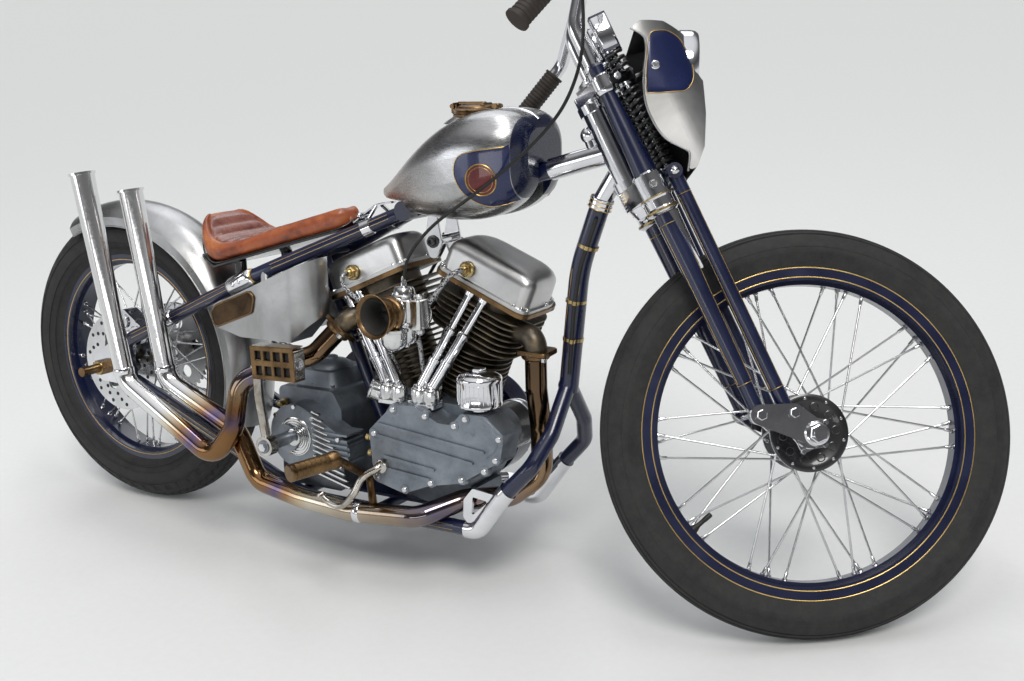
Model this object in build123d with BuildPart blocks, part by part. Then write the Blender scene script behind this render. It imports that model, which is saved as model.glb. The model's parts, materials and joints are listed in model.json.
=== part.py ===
from build123d import *
import os
from math import acos, cos, degrees, radians, sin, sqrt

# A rigid-frame chopper motorcycle with a sprung girder-rod fork, parked on its side stand.
# Millimetres. Every piece is first made in the upright bike's frame: X forward, Y left, Z up,
# with the origin on the floor below the rear axle. Fork pieces are made about the steering axis:
# X forward of it, Y left, Z up along it. At the end everything is steered, leaned and set down.

# Running gear
WHEELBASE = 1530.0
RAKE = 28.0
FORK_OFFSET = 85.0
STEER_LOCK = 35.0
PARKED_LEAN = 8.0
SEAT_GAP = 0.3

REAR_TYRE_RADIUS = 327.0
REAR_TYRE_WIDTH = 112.0
REAR_FLANGE_RADIUS = REAR_TYRE_RADIUS - 84.0
REAR_RIM_WIDTH = 70.0
FRONT_TYRE_RADIUS = 345.0
FRONT_TYRE_WIDTH = 80.0
FRONT_FLANGE_RADIUS = FRONT_TYRE_RADIUS - 64.0
FRONT_RIM_WIDTH = 60.0
RIM_WALL = 3.4
RIM_DEPTH = 25.0
RIM_WELL = 7.0
TYRE_SEAT = 0.3

SPOKES = 40
SPOKE_RADIUS = 1.9
SPOKE_SWEEP = 42.0
SPOKE_SHY = 0.8
AXLE_RADIUS = 10.0
HUB_BORE = AXLE_RADIUS + 0.5
HUB_CORE = 25.0
FRONT_HUB_LENGTH = 100.0
FRONT_HUB_FLANGE = 65.0
REAR_HUB_LENGTH = 150.0
REAR_HUB_FLANGE = 58.0
HUB_FLANGE_PLACE = 34.0
HUB_FLANGE_WIDTH = 5.0
DRILLINGS = 10
DRILLING_RADIUS = 6.5

# Final drive
CHAIN_LINE = 92.0
CHAIN_WIDTH = 16.0
CHAIN_HALF_HEIGHT = 7.0
REAR_SPROCKET_RADIUS = 98.0
REAR_SPROCKET_TEETH = 42
SPROCKET_THICKNESS = 6.0
FRONT_SPROCKET_RADIUS = 44.0
FRONT_SPROCKET_PLACE = (575.0, 268.0)
BRAKE_DISC_RADIUS = 108.0
BRAKE_DISC_LINE = -76.0
BRAKE_DISC_WIDTH = 5.0

# Frame tubes: radius and the half-widths between the two sides
FRAME_TUBE = 14.0
BACKBONE_TUBE = FRAME_TUBE + 2.0
DOWNTUBE = FRAME_TUBE + 4.0
CRADLE_TUBE = FRAME_TUBE + 1.0
LUG_TUBE = FRAME_TUBE + 3.5
RAIL_HEIGHT = 115.0
RAIL_HALF = 110.0
AXLE_PLATE_HALF = 118.0
AXLE_PLATE_WIDTH = 12.0
STAY_EAR = (62.0, REAR_TYRE_RADIUS + 59.0)
RAIL_EAR = (72.0, REAR_TYRE_RADIUS - 15.0)
STAY_KNEE = (455.0, 560.0)
STAY_KNEE_HALF = 116.0
EAR_RADIUS = 20.0
CLUSTER = (757.0, 689.0)
CLUSTER_RADIUS = FRAME_TUBE + 5.0
CLUSTER_HALF = 36.0
BACKBONE_AIM = 568.0
BACKBONE_LUG = 126.0
CRADLE_FRONT = WHEELBASE - 440.0

# Steering head, measured along the steering axis from the front axle's level
CROWN_BOTTOM = 462.0
CROWN_TOP = 496.0
HEAD_BOTTOM = 496.5
HEAD_TOP = 657.5
CLAMP_BOTTOM = 658.0
CLAMP_TOP = 676.0
HEAD_RADIUS = 26.0
CUP_RADIUS = 31.0
STEM_RADIUS = 12.7
HEAD_BORE = 15.5

# Fork: forward and sideways places of its legs, springs and rocker pivots
RIGID_LEG_PLACE = (17.0, 70.0)
SPRING_LEG_PLACE = 61.0
SPRING_HALF = 34.0
REAR_PIVOT = (16.0, 65.0)
FRONT_PIVOT = (66.0, 46.0)
YOKE_HEIGHT = 486.0
YOKE_RADIUS = 13.0
SPRING_LEG = 12.5
LEG_AT_CROWN = 20.0
LEG_AT_CLAMP = 13.0
CLAMP_EAR = 18.0
SPRING_ROD = 6.0
PERCH_RADIUS = 15.0
PIVOT_PIN = 7.0
ROCKER_INNER = 83.0
ROCKER_WIDTH = 11.0
SPRING_RADIUS = 17.0
SPRING_PITCH = 12.0
CAP_HEIGHT = 66.0

# Engine: a 45 degree twin on its crank centre
CRANK = (816.0, 245.0)
BANK = 22.5
CASE_RADIUS = 112.0
CASE_HALF = 62.0
DECK = 116.0
BARREL_RADIUS = 46.0
FIN_RADIUS = 72.0
FIN_PITCH = 10.5
FIN_THICKNESS = 3.0
BARREL_FINS = 9
HEAD_START = 232.0
HEAD_FINS = 7
COVER_START = 336.0
COVER_HEIGHT = 66.0
COVER_LENGTH = 200.0
COVER_WIDTH = 132.0
PUSHROD_TUBE = 9.0
CAM_COVER_INNER = -98.0
CAM_COVER_OUTER = -150.0
GENERATOR = (962.0, 290.0)
GENERATOR_RADIUS = 44.0
GENERATOR_LENGTH = 92.0

WORLD_FLOOR = 0.0


def fork_plane():
    forward = Vector(cos(radians(RAKE)), 0, sin(radians(RAKE)))
    up = Vector(-sin(radians(RAKE)), 0, cos(radians(RAKE)))
    axle = Vector(WHEELBASE, 0, FRONT_TYRE_RADIUS)
    return Plane(origin=axle - forward * FORK_OFFSET, x_dir=forward, z_dir=up)


FORK = fork_plane()


def on_fork(forward, left, up):
    """A point given about the steering axis, in the upright bike's frame."""
    return FORK.from_local_coords(Vector(forward, left, up))


def bank_plane(side, distance):
    """The plane across a cylinder, side 1 for the front and -1 for the rear one."""
    lean = radians(BANK) * side
    axis = Vector(sin(lean), 0, cos(lean))
    origin = Vector(CRANK[0], 0, CRANK[1]) + axis * distance
    return Plane(origin=origin, x_dir=Vector(cos(lean), 0, -sin(lean)), z_dir=axis)


def tube(points, radius, bend=60.0, bore=0.0):
    """A round tube along straight runs that are joined by arcs."""
    with BuildPart() as made:
        with BuildLine() as route:
            if len(points) == 2:
                Line(*points)
            else:
                FilletPolyline(*points, radius=bend)
        with BuildSketch(Plane(origin=route.line @ 0, z_dir=route.line % 0)):
            Circle(radius)
            if bore:
                Circle(bore, mode=Mode.SUBTRACT)
        sweep()
    return made.part


def both_sides(piece):
    with BuildPart() as pair:
        add(piece)
        mirror(about=Plane.XZ)
    return pair.part


def stepped_round(steps, plane):
    """A turned piece: steps are (radius, height) pairs up the plane's own axis."""
    with BuildPart() as made:
        with BuildSketch(Plane.XZ):
            with BuildLine():
                Polyline((0, steps[0][1]), *steps, (0, steps[-1][1]), close=True)
            make_face()
        revolve(axis=Axis.Z)
    return plane.location * made.part


# Wheels: each is made about the Y axis with its centre at the origin


def tyre(outer_radius, width, flange_radius, rim_width):
    crown = outer_radius - width / 2
    bead_width = rim_width - 2 * RIM_WALL - 2 * TYRE_SEAT
    bead_radius = flange_radius - RIM_DEPTH + RIM_WALL + TYRE_SEAT
    shoulder = flange_radius + TYRE_SEAT
    with BuildPart() as made:
        with BuildSketch(Plane.YZ):
            with Locations((0, crown)):
                Circle(width / 2)
            with Locations((0, shoulder / 2)):
                Rectangle(width, shoulder, mode=Mode.SUBTRACT)
            with Locations((0, (bead_radius + shoulder + RIM_WALL) / 2)):
                Rectangle(bead_width, shoulder + RIM_WALL - bead_radius)
        revolve(axis=Axis.Y)
    return made.part


def rim(flange_radius, rim_width):
    base = flange_radius - RIM_DEPTH
    with BuildPart() as made:
        with BuildSketch(Plane.YZ):
            with Locations((0, base + RIM_DEPTH / 2)):
                Rectangle(rim_width, RIM_DEPTH)
            with Locations((0, base + RIM_WALL + RIM_DEPTH / 2)):
                Rectangle(rim_width - 2 * RIM_WALL, RIM_DEPTH, mode=Mode.SUBTRACT)
            with Locations((0, base + (RIM_WALL - RIM_WELL) / 2)):
                Rectangle(rim_width / 2, RIM_WELL + RIM_WALL)
            with Locations((0, base + RIM_WALL)):
                Rectangle(rim_width / 2 - 2 * RIM_WALL, 2 * RIM_WELL, mode=Mode.SUBTRACT)
        revolve(axis=Axis.Y)
    return made.part


def laced_hub(length, flange, rim_base):
    """The hub with its drilled flanges and all its spokes, crossed in pairs."""
    lacing = flange - 7.0
    with BuildPart() as hub:
        with BuildSketch(Plane.XZ.offset(-length / 2)):
            Circle(HUB_CORE)
        extrude(amount=length)
        for side in (-1, 1):
            face = side * HUB_FLANGE_PLACE + HUB_FLANGE_WIDTH / 2
            with BuildSketch(Plane.XZ.offset(-face)):
                Circle(flange)
                with PolarLocations(flange * 0.68, DRILLINGS):
                    Circle(DRILLING_RADIUS, mode=Mode.SUBTRACT)
            extrude(amount=HUB_FLANGE_WIDTH)
        for number in range(SPOKES):
            side = 1 if number % 2 else -1
            leading = 1 if number % 4 < 2 else -1
            at_hub = radians(360.0 / SPOKES * number)
            at_rim = at_hub + radians(SPOKE_SWEEP) * leading
            across = side * (HUB_FLANGE_PLACE + 2.2 * leading)
            start = Vector(lacing * cos(at_hub), across, lacing * sin(at_hub))
            end = Vector(rim_base * cos(at_rim), side * (5.0 + 3.0 * leading), rim_base * sin(at_rim))
            with BuildSketch(Plane(origin=start, z_dir=end - start)):
                Circle(SPOKE_RADIUS)
        extrude(amount=(end - start).length)
        with BuildSketch(Plane.XZ.offset(-length / 2)):
            Circle(HUB_BORE)
        extrude(amount=length, mode=Mode.SUBTRACT)
    return hub.part


def rear_hub():
    rim_base = REAR_FLANGE_RADIUS - RIM_DEPTH - RIM_WELL - SPOKE_SHY
    with BuildPart() as hub:
        add(laced_hub(REAR_HUB_LENGTH, REAR_HUB_FLANGE, rim_base))
        with BuildSketch(Plane.XZ.offset(-BRAKE_DISC_LINE - BRAKE_DISC_WIDTH / 2)):
            Circle(BRAKE_DISC_RADIUS)
            Circle(HUB_CORE - 1, mode=Mode.SUBTRACT)
            with PolarLocations(BRAKE_DISC_RADIUS * 0.55, 6):
                Circle(13.0, mode=Mode.SUBTRACT)
        extrude(amount=BRAKE_DISC_WIDTH)
        with BuildSketch(Plane.XZ.offset(BRAKE_DISC_LINE * -1 - BRAKE_DISC_WIDTH / 2 - 4)):
            Circle(40.0)
            Circle(HUB_BORE, mode=Mode.SUBTRACT)
        extrude(amount=4.0)
    return hub.part


def rear_sprocket():
    face = CHAIN_LINE + SPROCKET_THICKNESS / 2
    tooth = 360.0 / REAR_SPROCKET_TEETH
    with BuildPart() as sprocket:
        with BuildSketch(Plane.XZ.offset(-face)):
            Circle(REAR_SPROCKET_RADIUS - 4)
            with PolarLocations(REAR_SPROCKET_RADIUS - 5, REAR_SPROCKET_TEETH):
                Trapezoid(9.5, 9.0, 64, rotation=-90, align=(Align.CENTER, Align.MIN))
            with PolarLocations(REAR_SPROCKET_RADIUS * 0.62, 5, start_angle=tooth):
                Circle(15.0, mode=Mode.SUBTRACT)
        extrude(amount=SPROCKET_THICKNESS)
        with BuildSketch(Plane.XZ.offset(-face)):
            Circle(42.0)
        extrude(amount=face - REAR_HUB_LENGTH / 2 - SEAT_GAP)
        with BuildSketch(Plane.XZ.offset(-face - 10)):
            Circle(HUB_BORE)
        extrude(amount=60, mode=Mode.SUBTRACT)
    return sprocket.part


# Frame


def backbone_point(along):
    """A point on the backbone's centre line, which aims from the seat cluster at the head tube."""
    aim = on_fork(0, 0, BACKBONE_AIM)
    slope = (aim.Z - CLUSTER[1]) / (aim.X - CLUSTER[0])
    return Vector(along, 0, CLUSTER[1] + (along - CLUSTER[0]) * slope)


def backbone_end():
    """Where the plain tube runs into the head's lug."""
    return on_fork(0, 0, BACKBONE_AIM).X - BACKBONE_LUG


def steering_head():
    """Head tube with cups, the backbone lug, the downtube lug and its collar."""
    bottom = Plane(origin=on_fork(0, 0, HEAD_BOTTOM), z_dir=FORK.z_dir)
    length = HEAD_TOP - HEAD_BOTTOM
    aim = on_fork(0, 0, BACKBONE_AIM)
    low = on_fork(0, 0, HEAD_BOTTOM + 45)
    with BuildPart() as head:
        with BuildSketch(bottom):
            Circle(HEAD_RADIUS)
        extrude(amount=length)
        for start, depth in ((0.0, 16.0), (length - 16.0, 16.0)):
            with BuildSketch(bottom.offset(start)):
                Circle(CUP_RADIUS)
            extrude(amount=depth)
        add(tube([backbone_point(aim.X - 10), backbone_point(backbone_end())], BACKBONE_TUBE + 3.5))
        add(tube([low, Vector(*DOWNTUBE_POINTS[0]) + Vector(6, 0, 14)], DOWNTUBE - 1))
        add(downtube_collar())
        add(tube([backbone_point(aim.X - 38), backbone_point(aim.X - 50) + Vector(0, 0, 34)], 11.0))
        with Locations(backbone_point(aim.X - 52) + Vector(0, 0, 40)):
            Sphere(15.0)
        with BuildSketch(bottom.offset(-1)):
            Circle(HEAD_BORE)
        extrude(amount=length + 2, mode=Mode.SUBTRACT)
    return head.part


DOWNTUBE_POINTS = [
    (CRADLE_FRONT + 66, 0, 708), (CRADLE_FRONT + 26, 0, 600), (CRADLE_FRONT, 0, 372),
]


def downtube_collar():
    top = Vector(*DOWNTUBE_POINTS[0])
    along = (top - Vector(*DOWNTUBE_POINTS[1])).normalized()
    return tube([top, top + along * 18], DOWNTUBE + 3)


def backbone():
    """The tube under the tank, from the head's lug to the seat cluster."""
    with BuildPart() as made:
        add(tube([backbone_point(backbone_end() - SEAT_GAP), backbone_point(CLUSTER[0])], BACKBONE_TUBE))
        with BuildSketch(Plane.XZ.offset(-CLUSTER_HALF)):
            with Locations(CLUSTER):
                Circle(CLUSTER_RADIUS)
        extrude(amount=2 * CLUSTER_HALF)
    return made.part


def stay_tube(radius):
    start = Vector(CLUSTER[0] - 4, -CLUSTER_HALF / 2, CLUSTER[1] - 2)
    knee = Vector(STAY_KNEE[0], -STAY_KNEE_HALF, STAY_KNEE[1])
    ear = Vector(STAY_EAR[0], -AXLE_PLATE_HALF, STAY_EAR[1])
    end = ear + (knee - ear).normalized() * (EAR_RADIUS + SEAT_GAP)
    return tube([start, knee, end], radius, 300.0)


def upper_stays():
    """The two tubes from the seat cluster past the wheel to the axle plates."""
    with BuildPart() as stay:
        add(stay_tube(FRAME_TUBE))
        with BuildSketch(Plane.XZ.offset(-CLUSTER_HALF * 2)):
            with Locations(CLUSTER):
                Circle(CLUSTER_RADIUS + SEAT_GAP)
        extrude(amount=4 * CLUSTER_HALF, mode=Mode.SUBTRACT)
    return both_sides(stay.part)


CRADLE_POINTS = [
    (CRADLE_FRONT, 0, 385), (CRADLE_FRONT - 2, -62, 304), (CRADLE_FRONT - 22, -102, 250),
    (CRADLE_FRONT - 67, -108, 202),
]
LUG_BEND = (CRADLE_FRONT - 133, -RAIL_HALF, RAIL_HEIGHT)
LUG_END = (CRADLE_FRONT - 157, -RAIL_HALF, RAIL_HEIGHT)


def downtube():
    """The single front tube, forked into the two cradle tubes."""
    with BuildPart() as made:
        add(tube(DOWNTUBE_POINTS, DOWNTUBE, 300.0))
        for side in (1, -1):
            points = [(x, y * side, z) for x, y, z in CRADLE_POINTS]
            add(tube(points, CRADLE_TUBE, 45.0))
        with Locations((CRADLE_FRONT, 0, 382)):
            Sphere(DOWNTUBE + 1)
    return made.part


def cradle_lugs():
    """Chrome front corners of the cradle, each with a webbed window above it."""
    start = Vector(*CRADLE_POINTS[-1])
    before = Vector(*CRADLE_POINTS[-2])
    along = (before - start).normalized()
    points = [start - along * SEAT_GAP, start - along * 14, LUG_BEND, LUG_END]
    corner = Vector(start.X, start.Z)
    web = [corner + Vector(*step) for step in ((-13, -10), (-71, -4), (-91, -28), (-93, -62), (-73, -84))]
    window = [corner + Vector(*step) for step in ((-37, -24), (-71, -20), (-75, -58))]
    with BuildPart() as lug:
        add(tube(points, LUG_TUBE, 30.0))
        with BuildSketch(Plane.XZ.offset(RAIL_HALF + 2)):
            with BuildLine():
                FilletPolyline(*web, radius=7, close=True)
            make_face()
            with BuildLine():
                FilletPolyline(*window, radius=3, close=True)
            make_face(mode=Mode.SUBTRACT)
        extrude(amount=6.0)
    return both_sides(lug.part)


def lower_rails():
    start = Vector(LUG_END[0] - SEAT_GAP, -RAIL_HALF, RAIL_HEIGHT)
    knee = Vector(545, -RAIL_HALF, RAIL_HEIGHT)
    ear = Vector(RAIL_EAR[0], -AXLE_PLATE_HALF, RAIL_EAR[1])
    end = ear + (knee - ear).normalized() * (EAR_RADIUS + SEAT_GAP)
    return both_sides(tube([start, knee, end], FRAME_TUBE, 250.0))


def axle_plates():
    with BuildPart() as plate:
        with BuildSketch(Plane.XZ.offset(AXLE_PLATE_HALF - AXLE_PLATE_WIDTH / 2)) as outline:
            with Locations((0, REAR_TYRE_RADIUS)):
                Circle(32.0)
            with Locations(STAY_EAR, RAIL_EAR):
                Circle(EAR_RADIUS)
            make_hull()
            with Locations((0, REAR_TYRE_RADIUS)):
                Circle(AXLE_RADIUS + SEAT_GAP, mode=Mode.SUBTRACT)
            with Locations((46, REAR_TYRE_RADIUS + 23)):
                Circle(11.0, mode=Mode.SUBTRACT)
        extrude(amount=AXLE_PLATE_WIDTH)
    return both_sides(plate.part)


POST_TOP = (530.0, 593.0)
POST_TOP_HALF = 91.0
POST_FOOT = (722.0, 122.0)
SEAT_BRIDGE = (372.0, 524.0)
BRIDGE_RADIUS = 9.0


def crossmembers():
    """Seat post with its top cross tube, the two lower cross tubes and the plate under engine and gearbox."""
    rail_face = RAIL_HALF - FRAME_TUBE - SEAT_GAP
    with BuildPart() as made:
        add(tube([(POST_TOP[0], 0, POST_TOP[1]), (POST_FOOT[0], 0, POST_FOOT[1])], 13.0))
        with BuildSketch(Plane.XZ.offset(-rail_face)):
            with Locations((POST_FOOT[0], RAIL_HEIGHT), (520, RAIL_HEIGHT)):
                Circle(11.0)
        extrude(amount=2 * rail_face)
        for place, half in ((POST_TOP, POST_TOP_HALF), (SEAT_BRIDGE, STAY_KNEE_HALF)):
            with BuildSketch(Plane.XZ.offset(-half)):
                with Locations(place):
                    Circle(BRIDGE_RADIUS)
            extrude(amount=2 * half)
        with Locations((682, 0, RAIL_HEIGHT + 13)):
            Box(388, 120, 6)
        add(both_sides(stay_tube(FRAME_TUBE + SEAT_GAP)), mode=Mode.SUBTRACT)
    return made.part


# Rear fender, seat and tanks

FENDER_RADIUS = REAR_TYRE_RADIUS + 25.0
FENDER_HALF = REAR_TYRE_WIDTH / 2 + 10.0
FENDER_SKIRT = REAR_TYRE_RADIUS - 27.0
FENDER_WALL = 2.5
FENDER_FRONT = -20.0
FENDER_TAIL = 116.0
FENDER_TAB = FENDER_RADIUS - 50.0


def fender_tab_place():
    """Where a stay's side view crosses the ring of the fender's tabs."""
    ear = Vector(STAY_EAR[0], STAY_EAR[1] - REAR_TYRE_RADIUS)
    run = (Vector(STAY_KNEE[0], STAY_KNEE[1] - REAR_TYRE_RADIUS) - ear).normalized()
    along = -ear.dot(run) + sqrt(ear.dot(run) ** 2 - ear.length**2 + FENDER_TAB**2)
    place = ear + run * along
    return place.X, place.Y + REAR_TYRE_RADIUS


def rear_fender():
    axle = Vector(0, 0, REAR_TYRE_RADIUS)
    turn = radians(FENDER_FRONT)
    outward = Vector(cos(turn), 0, sin(turn))
    section = Plane(origin=axle, x_dir=(0, 1, 0), z_dir=Vector(0, 1, 0).cross(outward))
    shoulder = FENDER_RADIUS - 32
    with BuildPart() as fender:
        with BuildSketch(section):
            for inset, how in ((0.0, Mode.ADD), (FENDER_WALL, Mode.SUBTRACT)):
                half = FENDER_HALF - inset
                low = FENDER_SKIRT if how == Mode.ADD else FENDER_SKIRT - 5
                with BuildLine():
                    Line((-half, low), (-half, shoulder))
                    ThreePointArc((-half, shoulder), (0, FENDER_RADIUS - inset), (half, shoulder))
                    Line((half, shoulder), (half, low))
                    Line((half, low), (-half, low))
                make_face(mode=how)
        revolve(axis=Axis((0, 0, REAR_TYRE_RADIUS), (0, -1, 0)), revolution_arc=FENDER_TAIL - FENDER_FRONT)
        tab_length = AXLE_PLATE_HALF - FRAME_TUBE - 1.5 - FENDER_HALF
        for side in (-1, 1):
            with BuildSketch(Plane.XZ.offset(FENDER_HALF - 1 if side < 0 else -FENDER_HALF - tab_length)):
                with Locations(fender_tab_place()):
                    Circle(8.0)
            extrude(amount=tab_length + (1 if side < 0 else 1))
    return fender.part


def seat_plan(grow=0.0):
    """The seat seen from above: a narrow nose and a broad rear."""
    with BuildSketch(Plane.XY.offset(400)) as plan:
        with Locations((582, 0)):
            Circle(38.0 + grow)
        with Locations((360, 14), (360, -14)):
            Circle(104.0 + grow)
        make_hull()
    return plan.sketch


SEAT_BOTTOM = [(620, 652), (346, 572), (298, 590), (252, 648)]


def seat():
    with BuildPart() as made:
        with BuildSketch(Plane.XZ.offset(-150)):
            with BuildLine():
                Polyline(*SEAT_BOTTOM)
                Line(SEAT_BOTTOM[-1], (270, 664))
                ThreePointArc((270, 664), (312, 628), (368, 618))
                Line((368, 618), (614, 688))
                Line((614, 688), SEAT_BOTTOM[0])
            make_face()
        extrude(amount=300)
        extrude(to_extrude=seat_plan(), amount=400, mode=Mode.INTERSECT)
        fillet(made.edges().filter_by(lambda edge: edge.center().Z > 640).sort_by(Axis.Z)[-1:], 4)
    return made.part


def seat_pan():
    """Steel pan below the seat, its hinge arm and the two rear bumpers."""
    with BuildPart() as made:
        with BuildSketch(Plane.XZ.offset(-150)):
            with BuildLine():
                lower = Polyline(*[(x, z - SEAT_GAP - 0.2) for x, z in SEAT_BOTTOM[:3]])
                Line(lower @ 1, lower @ 1 + Vector(-2, -5))
                Polyline(lower @ 1 + Vector(-2, -5), (345, 567), (620, 647), lower @ 0)
            make_face()
        extrude(amount=300)
        extrude(to_extrude=seat_plan(3.0), amount=400, mode=Mode.INTERSECT)
        add(tube([(740.6, 0, 677), (700, 0, 662), (600, 0, 638)], 7.0, 60.0))
        for side in (-1, 1):
            top = (SEAT_BRIDGE[0], side * 70, SEAT_BRIDGE[1] + 52)
            add(tube([top, (SEAT_BRIDGE[0], side * 70, SEAT_BRIDGE[1])], 12.0))
        with BuildSketch(Plane.XZ.offset(-STAY_KNEE_HALF)):
            with Locations(SEAT_BRIDGE):
                Circle(BRIDGE_RADIUS + SEAT_GAP)
        extrude(amount=2 * STAY_KNEE_HALF, mode=Mode.SUBTRACT)
    return made.part


def oil_tank():
    """Horseshoe oil tank round the seat post, ahead of the wheel."""
    with BuildPart() as tank:
        with BuildSketch(Plane.XY.offset(430)):
            with Locations((464, 0)):
                RectangleRounded(288, 292, 60)
            with Locations((330, 0)):
                Rectangle(90, 2 * FENDER_HALF + 24, mode=Mode.SUBTRACT)
            with Locations((620, 0)):
                Rectangle(220, 164, mode=Mode.SUBTRACT)
        extrude(amount=220)
        with BuildSketch(Plane.XZ.offset(-200)):
            with BuildLine():
                Polyline(
                    (300, 420), (680, 420), (680, 560), (560, 438),
                    (430, 438), (330, 462), (300, 470), close=True,
                )
            make_face()
            with BuildLine():
                Polyline((300, 471), (300, 720), (700, 720), (700, 640), close=True)
            make_face()
        extrude(amount=400, mode=Mode.SUBTRACT)
        with BuildSketch(Plane.XY.offset(520)):
            with Locations((476, 114), (476, -114)):
                Circle(9.0)
        extrude(amount=48)
        add(both_sides(stay_tube(FRAME_TUBE + SEAT_GAP)), mode=Mode.SUBTRACT)
    return tank.part


CAP_PLACE = (906.0, 871.0)
CAP_RADIUS = 35.0
TANK_SECTIONS = [
    # along, bottom, top, width, corner
    (706, 713, 731, 46, 8),
    (776, 688, 785, 136, 42),
    (868, 681, 848, 206, 64),
    (962, 688, 878, 226, 74),
    (1018, 714, 872, 194, 60),
    (1048, 752, 846, 116, 36),
]


def fuel_tank():
    with BuildPart() as tank:
        for along, bottom, top, width, corner in TANK_SECTIONS:
            middle = (bottom + top) / 2
            with BuildSketch(Plane(origin=(along, 0, middle), x_dir=(0, 1, 0), z_dir=(1, 0, 0))):
                RectangleRounded(width, top - bottom, corner)
        loft()
        with BuildSketch(Plane.XZ.offset(-23)):
            with BuildLine():
                roof = BACKBONE_TUBE * 1.04 + SEAT_GAP
                rear, front = backbone_point(780), backbone_point(1060)
                Polyline(
                    (690, 600), (690, 712), (rear.X, 712), (rear.X, rear.Z + roof), (front.X, front.Z + roof),
                    (front.X, front.Z + roof + 6), (1120, 813), (1120, 600), close=True,
                )
            make_face()
        extrude(amount=46, mode=Mode.SUBTRACT)
        with BuildSketch(Plane.XZ.offset(-70)):
            with Locations((735, 660)):
                Rectangle(96, 104)
        extrude(amount=140, mode=Mode.SUBTRACT)
        with BuildSketch(Plane.XY.offset(840)):
            with Locations((CAP_PLACE[0], 0)):
                Circle(CAP_RADIUS - 2)
        extrude(amount=CAP_PLACE[1] + 3 - SEAT_GAP - 840)
        with BuildSketch(Plane.XY.offset(CAP_PLACE[1] + 3 - SEAT_GAP)):
            with Locations((CAP_PLACE[0], 0)):
                Circle(CAP_RADIUS + 2)
        extrude(amount=30, mode=Mode.SUBTRACT)
    return tank.part


def fuel_cap():
    with BuildPart() as cap:
        with BuildSketch(Plane.XY.offset(CAP_PLACE[1] + 3)):
            with Locations((CAP_PLACE[0], 0)):
                Circle(CAP_RADIUS)
        extrude(amount=12, taper=8)
        with BuildSketch(Plane.XY.offset(CAP_PLACE[1] + 12)):
            with Locations((CAP_PLACE[0] - 8, 0)):
                SlotOverall(62, 14)
        extrude(amount=10)
    return cap.part


# Engine and gearbox


def crankcase():
    with BuildPart() as case:
        with BuildSketch(Plane.XZ.offset(-CASE_HALF)):
            with Locations(CRANK):
                Circle(CASE_RADIUS)
        extrude(amount=2 * CASE_HALF)
        for side in (-1, 1):
            deck = bank_plane(side, DECK)
            edge = deck.origin + deck.x_dir * (side * 58)
            foot = edge - deck.z_dir * DECK
            with BuildSketch(Plane.XZ.offset(-58)):
                with BuildLine():
                    Polyline(
                        CRANK, (CRANK[0], CRANK[1] + DECK / cos(radians(BANK))),
                        (edge.X, edge.Z), (foot.X, foot.Z), close=True,
                    )
                make_face()
            extrude(amount=116)
        with BuildSketch(Plane.XZ.offset(-46)):
            with Locations((CRANK[0] + 15, RAIL_HEIGHT + 16 + SEAT_GAP)):
                Rectangle(162, CRANK[1] - 91 - RAIL_HEIGHT, align=(Align.CENTER, Align.MIN))
        extrude(amount=92)
        with BuildSketch(Plane.XZ.offset(CASE_HALF)):
            with Locations((986, 306)):
                Circle(40.0)
            with Locations((800, 300)):
                Circle(48.0)
            with Locations((800, 220)):
                Circle(48.0)
            make_hull()
        extrude(amount=-CAM_COVER_INNER - CASE_HALF - SEAT_GAP)
        with BuildSketch(Plane.XZ.offset(CASE_HALF)):
            with Locations(GENERATOR):
                Circle(GENERATOR_RADIUS + SEAT_GAP)
        extrude(amount=-2 * CASE_HALF, mode=Mode.SUBTRACT)
    return case.part


CAM_OUTLINE = [
    (738, 290), (796, 346), (846, 352), (900, 326), (926, 326), (950, 351), (1004, 351),
    (1044, 318), (1034, 266), (946, 212), (876, 196), (818, 172), (746, 188),
]
CAM_RIBS = [(762, 305, 1000, 281), (762, 282, 975, 257), (775, 243, 890, 232), (775, 220, 880, 212)]


def cam_cover():
    """Cast timing cover with four raised ribs."""
    with BuildPart() as cover:
        with BuildSketch(Plane.XZ.offset(-CAM_COVER_INNER)):
            with BuildLine():
                FilletPolyline(*CAM_OUTLINE, radius=13, close=True)
            make_face()
        extrude(amount=CAM_COVER_INNER - CAM_COVER_OUTER - 4, taper=4)
        for x_rear, z_rear, x_front, z_front in CAM_RIBS:
            middle = ((x_rear + x_front) / 2, (z_rear + z_front) / 2)
            run = Vector(x_front - x_rear, z_front - z_rear)
            tilt = degrees(acos(run.X / run.length))
            with BuildSketch(Plane.XZ.offset(-CAM_COVER_OUTER - 5)):
                with Locations(middle):
                    SlotOverall(run.length, 6, rotation=-tilt)
            extrude(amount=5)
    return cover.part


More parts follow.
